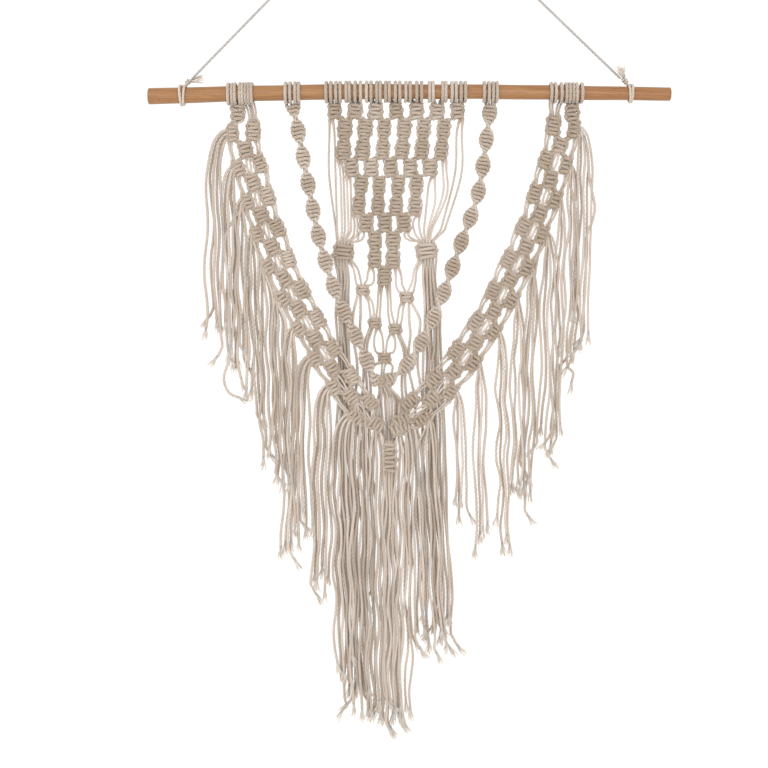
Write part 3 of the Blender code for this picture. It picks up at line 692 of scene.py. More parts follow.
def larks_head(x):
    """The two strands of a cord, from the middle of its loop round the rod to behind it."""
    height, radius = rod_at(x)
    snug = radius + ON_ROD
    strands = []
    for side in (-1, 1):
        strand = Strand()
        for degrees in range(int(BAR_ANGLE), 361, HEAD_STEP):
            bar = max(0.0, 1 - (degrees - BAR_ANGLE) / BAR_SPREAD)
            reach = snug + 2 * ON_ROD * bar
            apart = side * HEAD_HALF * (1 - bar ** 3)
            lean = 0.7 * vary(x, side) * math.sin(math.radians(degrees / 2))
            a = math.radians(degrees)
            strand.lead((x + apart + lean, reach * math.cos(a), height - reach * math.sin(a)),
                        ON_ROD)
        strand.lead((x + side * 1.7, snug, height - 0.45 * radius))
        strands.append(strand)
    return strands


def hang_on_rod(group):
    """All the strands of one group of heads, from left to right."""
    return [strand for x in HEADS[group] for strand in larks_head(x)]


print(sum(len(group) for group in HEADS.values()), "doubled cords on the rod")


# %% [markdown]
# ## The square knot
#
# Nearly everything here is one knot. Of four strands the two in the middle run straight down,
# and the outer two are tied round them: one always crosses in front, the other always behind,
# and they change sides at every half knot. From the front each half knot is one ridge, and
# the strand from behind shows as a small bump at the side.
#
# A formula for each of the two does this. The crossing strand swings from side to side like a
# cosine while it stays in front. The other swings the opposite way, goes behind in the middle
# and comes forward at the sides. The steps down are uneven, so that the ridges lie level.

# %% Square knots
KNOT_HALF_WIDTH = 5.8                  # mm from the middle of a knot to its outer strands
KNOT_FRONT = 3.4                       # how far in front of the middle the ridges lie
HALF_KNOT = 3.4                        # mm from one ridge to the next
END_TAPER, WAIST = 0.2, 0.42           # how much narrower a knot is at its ends, and at a waist
WAIST_LENGTH = 0.16                    # of a waist, as a share of half the sinnet
POINTS_A_HALF = 12
UNEVEN = 0.08                          # share by which the half knots of a knot differ in width
LEVEL_FRONT, LEVEL_BACK = 0.11, 0.30   # how unevenly the two strands step down, in half knots
BACK_DEPTH = 0.72                      # the second strand's depth, as a share of the first one's
SHORT_RUN = 6.0                        # mm; on a longer run between knots the cord is thin


def run_free(strand, to, bow=Vector()):
    """Leads a strand to near this place, drawn thin and bowed to one side, if it is far off."""
    start = Vector(strand.end())
    if (Vector(to) - start).length > SHORT_RUN:
        strand.swing(start.lerp(to, 0.25) + 0.7 * bow, start.lerp(to, 0.5) + bow,
                     start.lerp(to, 0.8) + 0.5 * bow)


def square_knots(group, top, bottom, halves, half_width=KNOT_HALF_WIDTH, front=KNOT_FRONT,
                 gap=4.3, deep=0.0, waist=False, bow=0.0, splay=0.0):
    """Ties the outer strands of a group round the others, from top to bottom.

    The inner strands lie gap apart, and deep in front of and behind the middle by turns. A
    sinnet can have a narrow waist half way. On a long way from the last knot the strands bow
    to one side or splay. Returns the group from left to right as it comes out.
    """
    left, *inner, right = group
    top, bottom = Vector(top), Vector(bottom)
    run = bottom - top
    across = Vector((-run.z, 0.0, run.x)).normalized()
    forward = Vector((0.0, -1.0, 0.0))
    for i, strand in enumerate(group):
        place = i - (len(group) - 1) / 2
        run_free(strand, top + across * place * 1.2 * half_width / len(group),
                 across * (bow + splay * place))
    for i in range(halves * POINTS_A_HALF + 1):
        s = i / POINTS_A_HALF
        swing, bow = math.cos(math.pi * s), math.sin(math.pi * s) ** 2
        level = math.sin(2 * math.pi * s)
        off_middle = 2 * s / halves - 1
        reach = half_width * (1 - END_TAPER * off_middle ** 6)
        reach *= 1 + UNEVEN * vary(int(s + 0.5), top.x, top.z)
        if waist:
            reach *= 1 - WAIST * math.exp(-(off_middle / WAIST_LENGTH) ** 2)
        at = top + run * min(1.0, max(0.0, (s + LEVEL_FRONT * level) / halves))
        left.lead(at - across * reach * swing + forward * (front * bow - 0.2), KNOTTED)
        at = top + run * min(1.0, max(0.0, (s + LEVEL_BACK * level) / halves))
        wide = reach + 0.5 * (1 - bow)
        right.lead(at + across * wide * swing
                   + forward * (BACK_DEPTH * front * math.cos(2 * math.pi * s)), KNOTTED)
    for i, strand in enumerate(inner):
        place = i - (len(inner) - 1) / 2
        offset = across * gap * place + forward * deep * (-1) ** i
        strand.swing(top + offset, top.lerp(bottom, 0.5) + offset, bottom + offset,
                     radius=KNOTTED)
    if halves % 2:
        left, right = right, left
    return [left, *inner, right]


print(f"a square knot: {2 * HALF_KNOT} mm long, {2 * (KNOT_HALF_WIDTH + KNOTTED):.1f} mm wide")

# %% [markdown]
# ## The net
#
# Seven knots in the first row, and one fewer in each row below, because each next knot takes
# two strands from each of its two neighbours and the outermost pair is let go. Rows of short
# knots alternate with longer sinnets, which are the same knot repeated.

# %% Rows of the net
PANEL_Y = 4.5                          # mm; the work hangs from the back of the rod
OFF_PLACE = 0.8                        # mm by which a knot of the net is off its even place
OFF_WIDTH = 0.4                        # mm by which it is wider or narrower
NET_ROWS = (                           # in mm
    # top z, bottom z, centre x at the top, sideways lean to the bottom, pitch x, knots, waist
    (-245.5, -260.5, -2.9, -0.8, 19.6, 7, False),
    (-260.0, -299.5, -4.4, -3.0, 18.8, 6, True),
    (-298.0, -315.5, -8.5, 0.0, 18.8, 5, False),
    (-314.5, -352.5, -9.8, -2.8, 17.8, 4, True),
    (-351.0, -368.5, -14.0, 0.0, 18.0, 3, False),
    (-367.5, -403.0, -15.0, 0.0, 17.4, 2, True),
    (-401.5, -420.5, -14.5, 0.0, 0.0, 1, False),
)


def tie_net(strands):
    """Ties the rows, and returns the pairs let go on each side and the last knot's strands."""
    let_go = {"left": [], "right": []}
    for top, bottom, centre, lean, pitch, knots, waist in NET_ROWS:
        tied = []
        for i in range(knots):
            x = centre + (i - (knots - 1) / 2) * pitch
            uneven = OFF_PLACE * vary(x, top)
            tied += square_knots(strands[4 * i:4 * i + 4],
                                 (x + uneven, PANEL_Y, top + OFF_PLACE * vary(x, 2)),
                                 (x + lean - uneven, PANEL_Y, bottom + OFF_PLACE * vary(x, 3)),
                                 max(4, round((top - bottom) / HALF_KNOT)),
                                 KNOT_HALF_WIDTH + OFF_WIDTH * vary(x, top, 4), waist=waist)
        if knots > 1:
            let_go["left"].append(tied[:2])
            let_go["right"].append(tied[-2:])
            strands = tied[2:-2]
    return let_go, tied


net_strands = hang_on_rod("net")
let_go, net_tip = tie_net(list(net_strands))
print("net:", len(net_strands), "strands,", sum(row[-2] for row in NET_ROWS), "knots and sinnets")

# %% [markdown]
# ## The gathered knots
#
# The pairs let go by the first five rows hang down beside the net, ten strands on each side,
# and are gathered in one thick knot: the outermost and the innermost strand are tied round the
# other eight. Eight strands then fall straight down behind the rest and two go inwards.
#
# What hangs free from here is a piece of its own, cords_below_the_net. It bends little, so its
# rings can lie further apart than those of the knots. Net and cords together have more than
# 200,000 triangles, too many for one piece, and each of the two has well under that.

# %% Gathered knots and their bundles
SHED = {                               # x in mm where the pair of each row hangs
    # outer strand half way down and above the gathered knot, inner strand at the same places
    "left": ((-67.4, -60.7, -61.2, -59.7), (-55.9, -55.0, -53.0, -52.1),
             (-49.7, -48.7, -46.4, -46.4), (-43.0, -43.8, -40.2, -40.6),
             (-39.5, -39.7, -34.0, -36.8)),
    "right": ((59.1, 43.3, 52.9, 39.5), (45.2, 30.9, 41.4, 29.0),
              (33.8, 27.1, 26.1, 23.3), (18.5, 20.4, 12.8, 15.2),
              (8.0, 13.7, 4.2, 8.0)),
}
GATHERS = {
    # x, z, and the bundle below: (x, y, z, distance between strands) down to its end
    "left": (-53.0, -388.0, ((-53.5, 9.0, -412.0, 1.3), (-54.5, 9.2, -480.0, 1.5),
                             (-51.0, 9.2, -610.0, 2.0), (-40.0, 8.0, -812.0, 3.0))),
    "right": (25.2, -387.0, ((28.5, 9.0, -412.0, 1.5), (31.5, 9.2, -480.0, 2.4),
                             (36.0, 9.0, -600.0, 2.4), (42.0, 8.0, -745.0, 2.6))),
}
GATHER_HALF_WIDTH = 9.4                # mm
GATHER_HALF_LENGTH = 7.5
GATHER_FRONT = 5.0                     # how far its ridges stand forward
GATHER_GAP, GATHER_DEEP = 1.45, 1.5    # between the strands inside it, across and in depth
GATHER_FEED = 1.5                      # between the strands as they go in
SHED_DEPTH = 1.6                       # mm by which the strands beside the net differ in depth
GATHER_FUNNEL = 13.0                   # mm above the knot where the strands begin to close up
FUNNEL_SHARE = 0.3                     # or this share of a short fall
GATHER_LEAN = 1.5                      # outwards, from its top to its bottom
GATHERED = 8                           # strands that fall in a bundle
BUNDLE_TIPS = 15.0                     # mm by which the ends in a bundle differ
LAYER = 1.9                            # half the distance between two layers of strands


def gather(side):
    """Leads the ten strands of one side down, ties them, and returns the two that go inwards."""
    out = -1 if side == "left" else 1
    x, z, bundle = GATHERS[side]
    group = []
    for row, (pair, hung) in enumerate(zip(let_go[side], SHED[side])):
        low = NET_ROWS[row][1]
        outer, inner = (pair[0], pair[1]) if side == "left" else (pair[1], pair[0])
        for strand, half_way, above in ((outer, *hung[:2]), (inner, *hung[2:])):
            y = PANEL_Y + SHED_DEPTH * vary(half_way, row)
            fall = low - z - GATHER_HALF_LENGTH
            end = z + GATHER_HALF_LENGTH + min(GATHER_FUNNEL, FUNNEL_SHARE * fall)
            strand.swing((half_way + 0.35 * (strand.end()[0] - half_way), y, low - 0.12 * fall),
                         (half_way, y, 0.5 * (low + end)), (above, y, end))
            group.append(strand)
    group.sort(key=lambda strand: strand.end()[0])
    for i, strand in enumerate(group):
        strand.swing((x + GATHER_FEED * (i - (len(group) - 1) / 2), PANEL_Y,
                      z + GATHER_HALF_LENGTH + 2.0))
    lean = out * GATHER_LEAN
    tied = square_knots(group, (x, PANEL_Y + 0.5, z + GATHER_HALF_LENGTH),
                        (x + lean, PANEL_Y + 0.5, z - GATHER_HALF_LENGTH), 4,
                        GATHER_HALF_WIDTH, GATHER_FRONT, GATHER_GAP, GATHER_DEEP)
    inwards = tied[GATHERED:] if side == "left" else tied[:2]
    falling = tied[:GATHERED] if side == "left" else tied[2:]
    for i, strand in enumerate(strand.parted() for strand in falling):
        place = i - (GATHERED - 1) / 2
        layer = LAYER * (-1) ** (i + 1)
        fall = [(bx + apart * place + 0.5 * vary(i, bz), by + layer, bz)
                for bx, by, bz, apart in bundle]
        fall[-1] = (*fall[-1][:2], fall[-1][2] + BUNDLE_TIPS * vary(i, bundle[-1][2], 4))
        let_fall(strand, fall, out, i + out)
        falling_cords.append(strand)
    return inwards


WAVE = 1.6                             # mm that a hanging strand wanders to either side
WAVE_LENGTH = 92.0                     # mm
WAVE_SHARES = (0.75, 0.5)              # of the wave of its lock, and of its own
WAVE_STARTS = 50.0                     # mm of fall over which the wave grows to its full size
WAVE_STEP = 17.0                       # mm between the points of a hanging strand
STRAIGHT_ENDS = 0.7                    # share of the strands whose ends don't curl sideways
CURL = ((0.6, 4.0), (2.4, 8.5), (5.2, 12.0))        # mm across and down, at the end of a strand


def let_fall(strand, fall, lock_key, key):
    """Hangs a strand through these points with a slow wave, down to its frayed end.

    The strands of one lock wave together, each with a little of its own.
    """
    waved = []
    start = strand.end()
    top = start[2]
    waves = [(share, 2 * math.pi / (WAVE_LENGTH * (1 + 0.35 * vary(one, 8))), 3 * vary(one, 9))
             for share, one in zip(WAVE_SHARES, (lock_key, key))]
    for low in fall:
        count = max(1, round(math.dist(start, low) / WAVE_STEP))
        for i in range(1, count + 1):
            x, y, z = blended(start, low, i / count)
            fallen = top - z
            wander = WAVE * min(1.0, fallen / WAVE_STARTS) * sum(
                share * math.sin(slow * fallen + phase) for share, slow, phase in waves)
            waved.append((x + wander + 0.45 * vary(key, z, 1), y + 0.4 * vary(key, z, 2), z))
        start = low
    curl = vary(key, 11)
    if abs(curl) > STRAIGHT_ENDS:
        x, y, z = fall[-1]
        waved += [(x + across * curl, y, z - down) for across, down in CURL]
    strand.swing(*waved)
    strand.frayed = True


falling_cords = []
inwards = {side: gather(side) for side in GATHERS}
print(len(falling_cords), "cords fall from the gathered knots")

# %% [markdown]
# ## The loose knots below the net
#
# Five single knots, tied loosely with air between them, close the net in a point. Each takes
# a pair from the left and a pair from the right, as in the net, and lets the outer pair hang.

# %% Loose knots
LOOSE_KNOTS = {
    # x and z of the middle, and x where each of its four strands hangs above it, in mm
    "low_left": (-35.2, -424.4, (-42.5, -38.2, -31.1, -24.0)),
    "low_right": (6.8, -431.1, (-3.4, 2.5, 12.6, 15.0)),
    "mid_left": (-23.7, -455.9, (-28.4, -24.6, -21.0, -18.2)),
    "mid_right": (-4.1, -461.6, (-11.0, -8.4, -1.6, 2.8)),
    "last": (-14.5, -489.3, (-24.6, -15.8, -12.4, -3.6)),
}
LOOSE_HALF_LENGTH = 4.6                # mm
LOOSE_HALF_WIDTH = 5.4
LOOSE_HALVES = 3


def loose_knot(name, left_pair, right_pair):
    """Lets two pairs hang straight down to a loose knot and ties them."""
    x, z, hangs = LOOSE_KNOTS[name]
    group = [*left_pair, *right_pair]
    for i, (strand, hang) in enumerate(zip(group, hangs)):
        x0, _, z0 = strand.end()
        top = z + LOOSE_HALF_LENGTH
        fall = z0 - top
        strand.swing((x0 + 0.75 * (hang - x0), PANEL_Y, z0 - 0.3 * fall),
                     (hang + 0.4 * vary(i, x), PANEL_Y, top + 0.35 * fall))
        if i in (1, 2):
            strand.swing((x + 2.2 * (i - 1.5), PANEL_Y, top + 1.0))
        else:
            strand.swing((hang + 0.2 * (x - hang), PANEL_Y, top + 0.5))
    return square_knots(group, (x, PANEL_Y, top), (x, PANEL_Y, z - LOOSE_HALF_LENGTH),
                        LOOSE_HALVES, LOOSE_HALF_WIDTH)


low_left = loose_knot("low_left", inwards["left"], let_go["left"][5])
low_right = loose_knot("low_right", let_go["right"][5], inwards["right"])
mid_left = loose_knot("mid_left", low_left[2:], net_tip[:2])
mid_right = loose_knot("mid_right", net_tip[2:], low_right[:2])
last = loose_knot("last", mid_left[2:], mid_right[:2])

# %% The outer pairs fall behind the spirals and the bands, the last four behind the joint
OUTER_FALLS = (
    # pair, x of its two strands low down, x at the end, z of the end
    (low_left[:2], (-43.5, -36.8), -33.0, -716.0),
    (mid_left[:2], (-33.8, -30.6), -24.0, -700.0),
    (low_right[2:], (9.0, 18.5), 24.0, -690.0),
    (mid_right[2:], (3.6, 6.4), 10.0, -672.0),
)
BEHIND = 7.6                           # y of what hangs behind the spirals and the bands
PAIR_APART = 3.8                       # mm between the ends of the two strands of a pair
JOINT_KNOT = (-16.8, -512.5)

for n, (pair, low, end_x, end_z) in enumerate(OUTER_FALLS):
    for j, (strand, low_x) in enumerate(zip((strand.parted() for strand in pair), low)):
        falling_cords.append(strand)
        x = end_x + (j - 0.5) * PAIR_APART
        z0 = strand.end()[2]
        let_fall(strand, [(low_x, PANEL_Y + 1.5, z0 - 16.0), (low_x, BEHIND, z0 - 45.0),
                          (0.5 * (low_x + x), BEHIND, 0.5 * (z0 + end_z)),
                          (x, BEHIND, end_z + 14.0 * vary(n, j, 6))], n, n + 50 * j)
LAST_ENDS = (                          # x of the last knot's strands below it and at the joint
    (-24.6, -26.0), (-16.9, -17.4), (-14.2, -15.4), (-6.6, -8.4),
)
for strand, (x, end_x) in zip(last, LAST_ENDS):
    strand.swing((x, PANEL_Y, JOINT_KNOT[1] + 16.0),
                 (end_x, PANEL_Y + 0.8, JOINT_KNOT[1] + 6.0),
                 (0.5 * (end_x + JOINT_KNOT[0]), PANEL_Y + 1.8, JOINT_KNOT[1] - 1.0))

draw("net_of_square_knots", net_strands, 1.5, unbleached_cotton, "cotton_cord", "net_panel")
draw("cords_below_the_net", falling_cords, 1.75, unbleached_cotton, "cotton_cord", "net_panel")

# %% [markdown]
# ## The spirals
#
# The same four strands, but every half knot is tied from the same side. The work then turns
# by itself, half a turn in seven half knots, and swells where its wide side faces the front.
# It doesn't turn evenly: it stays flat for a few half knots and flips over in a short neck,
# so from the front it is a row of beads. Here the two outer strands circle the inner two in a
# frame that turns with the work, slowly in a bead and fast in a neck.

# %% Places along a curved line
def smooth_line(points, step):
    """Places every step mm along a smooth curve through the points (x, z): (x, z, dx, dz)."""
    run = Strand((*points[0], 0.0)).swing(*[(*p, 0.0) for p in points[1:]]).route
    line = np.array(run)[:, :2]
    along = np.append(0.0, np.cumsum(np.linalg.norm(np.diff(line, axis=0), axis=1)))
    places = np.arange(0.0, along[-1], step)
    x, z = (np.interp(places, along, line[:, k]) for k in (0, 1))
    dx, dz = (np.gradient(np.interp(along, along, line[:, k]), along) for k in (0, 1))
    dx, dz = np.interp(places, along, dx), np.interp(places, along, dz)
    size = np.hypot(dx, dz)
    return list(zip(x, z, dx / size, dz / size))


def lie_at(line, z):
    """The depth y at height z, from the top of a line of (z, y) to its end."""
    heights, depths = zip(*line[::-1])
    return float(np.interp(z, heights, depths))


# %% Tie the spirals
SPIRAL_LIE = ((-330.0, 4.5), (-400.0, -3.2), (-478.0, -3.2), (-505.0, 0.0))
SPIRALS = {
    "left": ((-102.2, -247.0), (-96.9, -272.7), (-87.4, -323.3), (-76.0, -378.6),
             (-59.7, -430.1), (-36.0, -480.7), (-25.5, -505.5), (-19.5, -513.0)),
    "right": ((86.8, -247.0), (84.8, -265.8), (75.3, -330.4), (58.6, -379.1),
              (33.8, -447.7), (8.4, -494.0), (-6.4, -507.0), (-13.5, -512.0)),
}
SPIRAL_PITCH = 25.6                    # from one swelling to the next, half a turn of the work
SPIRAL_START = {"left": 0.0, "right": 7.6}      # where the first swelling lies along the line
HALF_KNOTS_A_SWELLING = 7
SPIRAL_HALF_WIDTH = 6.1
SPIRAL_HALF_DEPTH = 2.4
SPIRAL_NECK = 0.42                     # the neck's share of a bead's width and depth
SPIRAL_FLIP = 0.42                     # radians by which the turn waits in a bead
SPIRAL_LEVEL = 0.24                    # how unevenly its strands step down, in half knots
SPIRAL_STEP = 0.4                      # mm
INNER_EVERY = 8                        # steps between the points of the two inner strands


def tie_spiral(side):
    """Circles the outer strands of a spiral round the inner two, from the rod to its end."""
    group = hang_on_rod("spiral_" + side)
    first, *inner, second = group
    hand = 1 if side == "left" else -1
    half_knot = SPIRAL_PITCH / HALF_KNOTS_A_SWELLING
    places = smooth_line(SPIRALS[side], SPIRAL_STEP)
    for n, (x, z, dx, dz) in enumerate(places):
        along = n * SPIRAL_STEP
        s = along / half_knot
        beads = math.pi * (along - SPIRAL_START[side]) / SPIRAL_PITCH
        turn = hand * (beads - SPIRAL_FLIP * math.sin(2 * beads))
        plump = SPIRAL_NECK + (1 - SPIRAL_NECK) * abs(math.cos(beads)) ** 1.3
        across, forward = Vector((-dz, 0.0, dx)), Vector((0.0, -1.0, 0.0))
        wide = across * math.cos(turn) + forward * math.sin(turn)
        thick = forward * math.cos(turn) - across * math.sin(turn)
        at = Vector((x, lie_at(SPIRAL_LIE, z), z))
        level = Vector((dx, 0.0, dz)) * SPIRAL_LEVEL * half_knot * math.sin(2 * math.pi * s)
        for strand, sign in ((first, -1), (second, 1)):
            strand.lead(
                at + level + wide * sign * plump * SPIRAL_HALF_WIDTH * math.cos(math.pi * s)
                - thick * sign * plump * SPIRAL_HALF_DEPTH * math.sin(math.pi * s),
                FREE + (KNOTTED - FREE) * plump)
        if n % INNER_EVERY == 0:
            for strand, sign in zip(inner, (-1, 1)):
                strand.lead(at + wide * sign * 1.2)
    print(f"spiral {side}: {round(along / half_knot)} half knots")
    return group


for side in SPIRALS:
    draw("half_knot_spiral_" + side, tie_spiral(side), 1.2, unbleached_cotton, "cotton_cord",
         "spiral_" + side)

# %% [markdown]
# ## The slanting bands
#
# Eight strands in a sloping net, three columns of square knots wide. A row of two knots, at
# the inner and the outer edge, alternates with one knot in the middle, which takes two strands
# from each of them. Along the edges the strands left over run free from one knot to the next,
# in a slight bow. Two more strands, the fillers, run straight down through every middle knot
# and show in the holes between them.

# %% Tie the bands
BAND_LIE = ((-380.0, 4.5), (-450.0, 0.0))
BANDS = {                              # pitch of the rows, line through the middle column
    "left": (32.4, ((-151.0, -257.5), (-148.0, -288.9), (-131.7, -352.4), (-108.9, -415.2),
                    (-80.7, -470.2), (-45.4, -526.9), (-27.5, -546.0))),
    "right": (34.4, ((160.0, -252.0), (154.6, -282.8), (135.4, -347.1), (106.8, -412.7),
                     (72.5, -474.3), (30.9, -527.4), (-1.5, -551.5))),
}
BAND_ENDS = {                          # the last knot of each band: x, z, direction
    "left": (-22.4, -552.6, (0.78, -0.63)),
    "right": (-0.6, -556.4, (-0.90, -0.44)),
}
INNER_OFFSET = 10.4                    # from the middle column to the inner one, in mm
OUTER_OFFSET = 9.6
BAND_KNOTS = {
    # length of a knot as a share of the pitch, half knots, half width in mm
    "middle": (0.45, 4, 6.0), "inner": (0.5, 5, 6.0), "outer": (0.45, 4, 5.2),
}
BAND_FIRST = {                         # x, z and length of the knot under the outer heads
    "left": (-154.5, -254.5, 16.0),
    "right": (165.0, -254.5, 16.0),
}
BAND_BOW = 1.2                         # mm that a free strand at an edge bows outwards
MIDDLE_GAP, EDGE_GAP = 1.9, 3.3        # between the strands inside a knot
BAND_UNEVEN, BAND_TILT = 0.08, 0.12    # how much its knots differ in length and slant
MIDDLE_FRONT = 1.0                     # mm that the middle column lies further forward
FILLER_SPLAY = 2.2                     # mm that the fillers spread in a hole


def band_rows(side):
    """The knots of a band in the order they are tied: (column, x, z, direction)."""
    pitch, line = BANDS[side]
    inward = 1 if side == "left" else -1
    rows = []
    for i, (x, z, dx, dz) in enumerate(smooth_line(line, pitch / 2)[1:]):
        across = (-dz * inward, dx * inward)
        if i % 2:
            rows.append(("middle", x, z, (dx, dz)))
        else:
            for column, offset in (("inner", INNER_OFFSET), ("outer", -OUTER_OFFSET)):
                rows.append((column, x + across[0] * offset, z + across[1] * offset, (dx, dz)))
    x, z, way = BAND_ENDS[side]
    return rows + [("middle", x, z, way)]


def tie_band(side):
    """Ties the eight strands and two fillers of a band, row by row."""
    group = hang_on_rod("band_" + side)
    left = side == "left"
    x, z, first_length = BAND_FIRST[side]
    outer = slice(0, 4) if left else slice(4, 8)
    group[outer] = square_knots(group[outer], (x, PANEL_Y, z + 0.5 * first_length),
                                (x, PANEL_Y, z - 0.5 * first_length), 4)
    rows = band_rows(side)
    _, x, z, _ = next(row for row in rows if row[0] == "middle")
    fillers = [Strand((x + 1.2 * sign, lie_at(BAND_LIE, z), z + 3.0)) for sign in (-1, 1)]
    group = group[:4] + fillers + group[4:]
    span = {"outer": slice(0, 4) if left else slice(6, 10), "middle": slice(2, 8),
            "inner": slice(6, 10) if left else slice(0, 4)}
    bow = {"outer": -BAND_BOW if left else BAND_BOW, "middle": 0.0,
           "inner": BAND_BOW if left else -BAND_BOW}
    for column, x, z, (dx, dz) in rows:
        y = lie_at(BAND_LIE, z) - (MIDDLE_FRONT if column == "middle" else 0.0)
        share, halves, half_width = BAND_KNOTS[column]
        half = 0.5 * share * BANDS[side][0] * (1 + BAND_UNEVEN * vary(x, z))
        tilt = BAND_TILT * vary(x, z, 2)
        way = Vector((dx - tilt * dz, 0.0, dz + tilt * dx)) * half
        at = Vector((x + 0.7 * vary(x, z, 3), y, z))
        taken = span[column]
        group[taken] = square_knots(group[taken], at - way, at + way, halves,
                                    half_width + OFF_WIDTH * vary(x, z, 4),
                                    gap=MIDDLE_GAP if column == "middle" else EDGE_GAP,
                                    bow=bow[column],
                                    splay=FILLER_SPLAY if column == "middle" else 0.0)
    end_x, end_z, _ = BAND_ENDS[side]
    for strand in group[:2] + group[8:]:
        strand.swing((end_x, lie_at(BAND_LIE, end_z) + 0.8, end_z + 1.0))
    return group


for side in BANDS:
    draw("square_knot_band_" + side, tie_band(side), 1.4, unbleached_cotton, "cotton_cord",
         "band_" + side)

# %% [markdown]
# ## The fringe
#
# Extra cords are hitched on at each outer knot of the bands and at their last two middle ones.
# They leave it sideways, bend over in a curve of about a finger's width and hang straight, not
# quite parallel, to uneven ends where the plies have come loose. They carry only themselves and
# are a little thicker than the strands that hold the net. Their hitches aren't tied here: each
# cord starts inside its knot, where its end doesn't show.

# %% Locks of fringe
FRINGE = {
    "left": (
        # knot counted along the band, strands, hanging x, end x, end z
        (0, 5, -177.5, -176.0, -478.0),
        (1, 5, -164.5, -161.0, -508.0),
        (2, 5, -154.0, -152.5, -520.0),
        (3, 5, -142.5, -137.0, -556.0),
        (4, 5, -128.5, -123.5, -597.0),
        (5, 5, -116.0, -112.0, -630.0),
        (6, 5, -105.5, -104.5, -680.0),
        (7, 5, -94.5, -93.0, -664.0),
        (8, 6, -74.5, -75.0, -724.0),
        (9, 6, -57.0, -50.0, -803.0),
        (10, 6, -36.5, -34.0, -838.0),
        (11, 5, -22.0, -22.0, -841.0),
    ),
    "right": (
        (0, 5, 177.8, 174.0, -480.0),
        (1, 4, 166.4, 163.0, -503.0),
        (2, 3, 155.0, 149.2, -588.0),
        (3, 5, 144.4, 141.6, -586.0),
        (4, 4, 126.5, 120.5, -640.0),
        (5, 4, 113.5, 112.0, -628.0),
        (6, 4, 97.7, 99.6, -678.0),
        (7, 4, 76.7, 76.7, -684.0),
        (8, 4, 57.6, 57.6, -648.0),
        (9, 6, 27.0, 33.0, -772.0),
        (10, 6, 13.0, 17.0, -765.0),
        (11, 5, 2.2, 3.0, -842.0),
    ),
}
STRANDS_APART = 3.2                    # mm, across a hanging lock
TIPS_WITHIN = 30.0                     # the tips of a lock lie within this above its end
SPREAD_OUT = 5.5                       # how far a cord leaves its knot before it bends over
ROOT_LENGTH = 9.0                      # of the knot over which the cords of a lock are hitched
BEND, BEND_BY_REACH = 20.0, 0.9        # how far down a cord hangs straight: mm, and by its reach
THICKNESS = {"left": 1.04, "right": 0.92}         # of the cords, as shares of the usual one
ARCH = (                               # how a cord bends over from its knot
    # share of the way out, share of the way down to where it hangs straight
    (0.44, 0.05), (0.72, 0.23), (0.88, 0.5),
)


def lock(side, row, root, strands, hang_x, end_x, end_z, y):
    """Cords hitched at one root, in two layers."""
    made = []
    key = row + (0 if side == "left" else 20)
    out = math.copysign(1.0, hang_x - root[0]) if abs(hang_x - root[0]) > 3.0 else 0.0
    for i in range(strands):
        place = i - (strands - 1) / 2
        depth = y + (LAYER if i % 2 else -LAYER) * 0.9
        tip = end_z + TIP_LENGTH + 0.5 * TIPS_WITHIN * (1 + vary(key, i, 1))
        x_hang = hang_x + STRANDS_APART * place
        over = x_hang - root[0]
        turn = BEND + BEND_BY_REACH * abs(over)
        x_end = end_x + STRANDS_APART * place * 1.25 + 1.6 * vary(key, i, 2)
        lift = ROOT_LENGTH * out * place / strands
        strand = Strand((root[0] - out * 1.5, 0.5 * (y + depth), root[1] + 1.0 + 0.8 * lift),
                        radius=HANGING * THICKNESS[side] * (1 + 0.07 * vary(key, i, 4)))
        strand.swing((root[0] + out * SPREAD_OUT + 0.4 * place, depth, root[1] - 1.0 + lift),
                     *[(root[0] + across * over, depth, root[1] - down * turn + (1 - down) * lift)
                       for across, down in ARCH if abs(across * over) > SPREAD_OUT])
        cross = x_hang + 1.5 * vary(key, i, 7)
        let_fall(strand, [(x_hang + 0.5 * vary(key, i, 3), depth, root[1] - turn),
                          (0.5 * (cross + x_end), depth, 0.5 * (root[1] + tip)),
                          (x_end, depth, tip)], key, key + i)
        made.append(strand)
    return made


# Cords that hang out of line, each from one of those knots: places (x, z) in mm
STRAYS = {
    "left": ((2, ((-166.0, -372.0), (-163.5, -420.0), (-161.8, -481.6), (-168.0, -507.4),
                  (-163.1, -522.3), (-152.3, -527.4))),),
    "right": ((0, ((178.5, -285.0), (181.5, -318.0), (186.5, -343.0), (184.5, -358.0),
                   (179.0, -373.0), (177.5, -420.0), (173.0, -474.0))),
              (1, ((168.0, -350.0), (170.5, -420.0), (161.0, -480.0), (160.5, -497.0),
                   (166.0, -503.0), (164.0, -514.0))),
              (3, ((128.0, -420.0), (121.5, -500.0), (117.5, -570.0), (115.0, -588.0),
                   (122.0, -602.0), (120.6, -611.0)))),
}


def stray(root, places, y):
    """One cord of the fringe that hangs through these places."""
    strand = Strand((root[0], y, root[1]), radius=HANGING, frayed=True)
    return strand.swing(*[(x, y - LAYER, z) for x, z in places])


for side, locks in FRINGE.items():
    rows = band_rows(side)
    outer = [(x, z) for column, x, z, _ in rows if column == "outer"]
    middle = [(x, z) for column, x, z, _ in rows if column == "middle"]
    roots = outer + middle[-2:]
    fringe = []
    for row, strands, hang_x, end_x, end_z in locks:
        x, z = roots[row]
        fringe += lock(side, row, (x, z), strands, hang_x, end_x, end_z, lie_at(BAND_LIE, z))
    fringe += [stray(roots[row], places, lie_at(BAND_LIE, roots[row][1]))
               for row, places in STRAYS[side]]
    draw("fringe_" + side, fringe, 1.75, unbleached_cotton, "cotton_cord", "band_" + side)

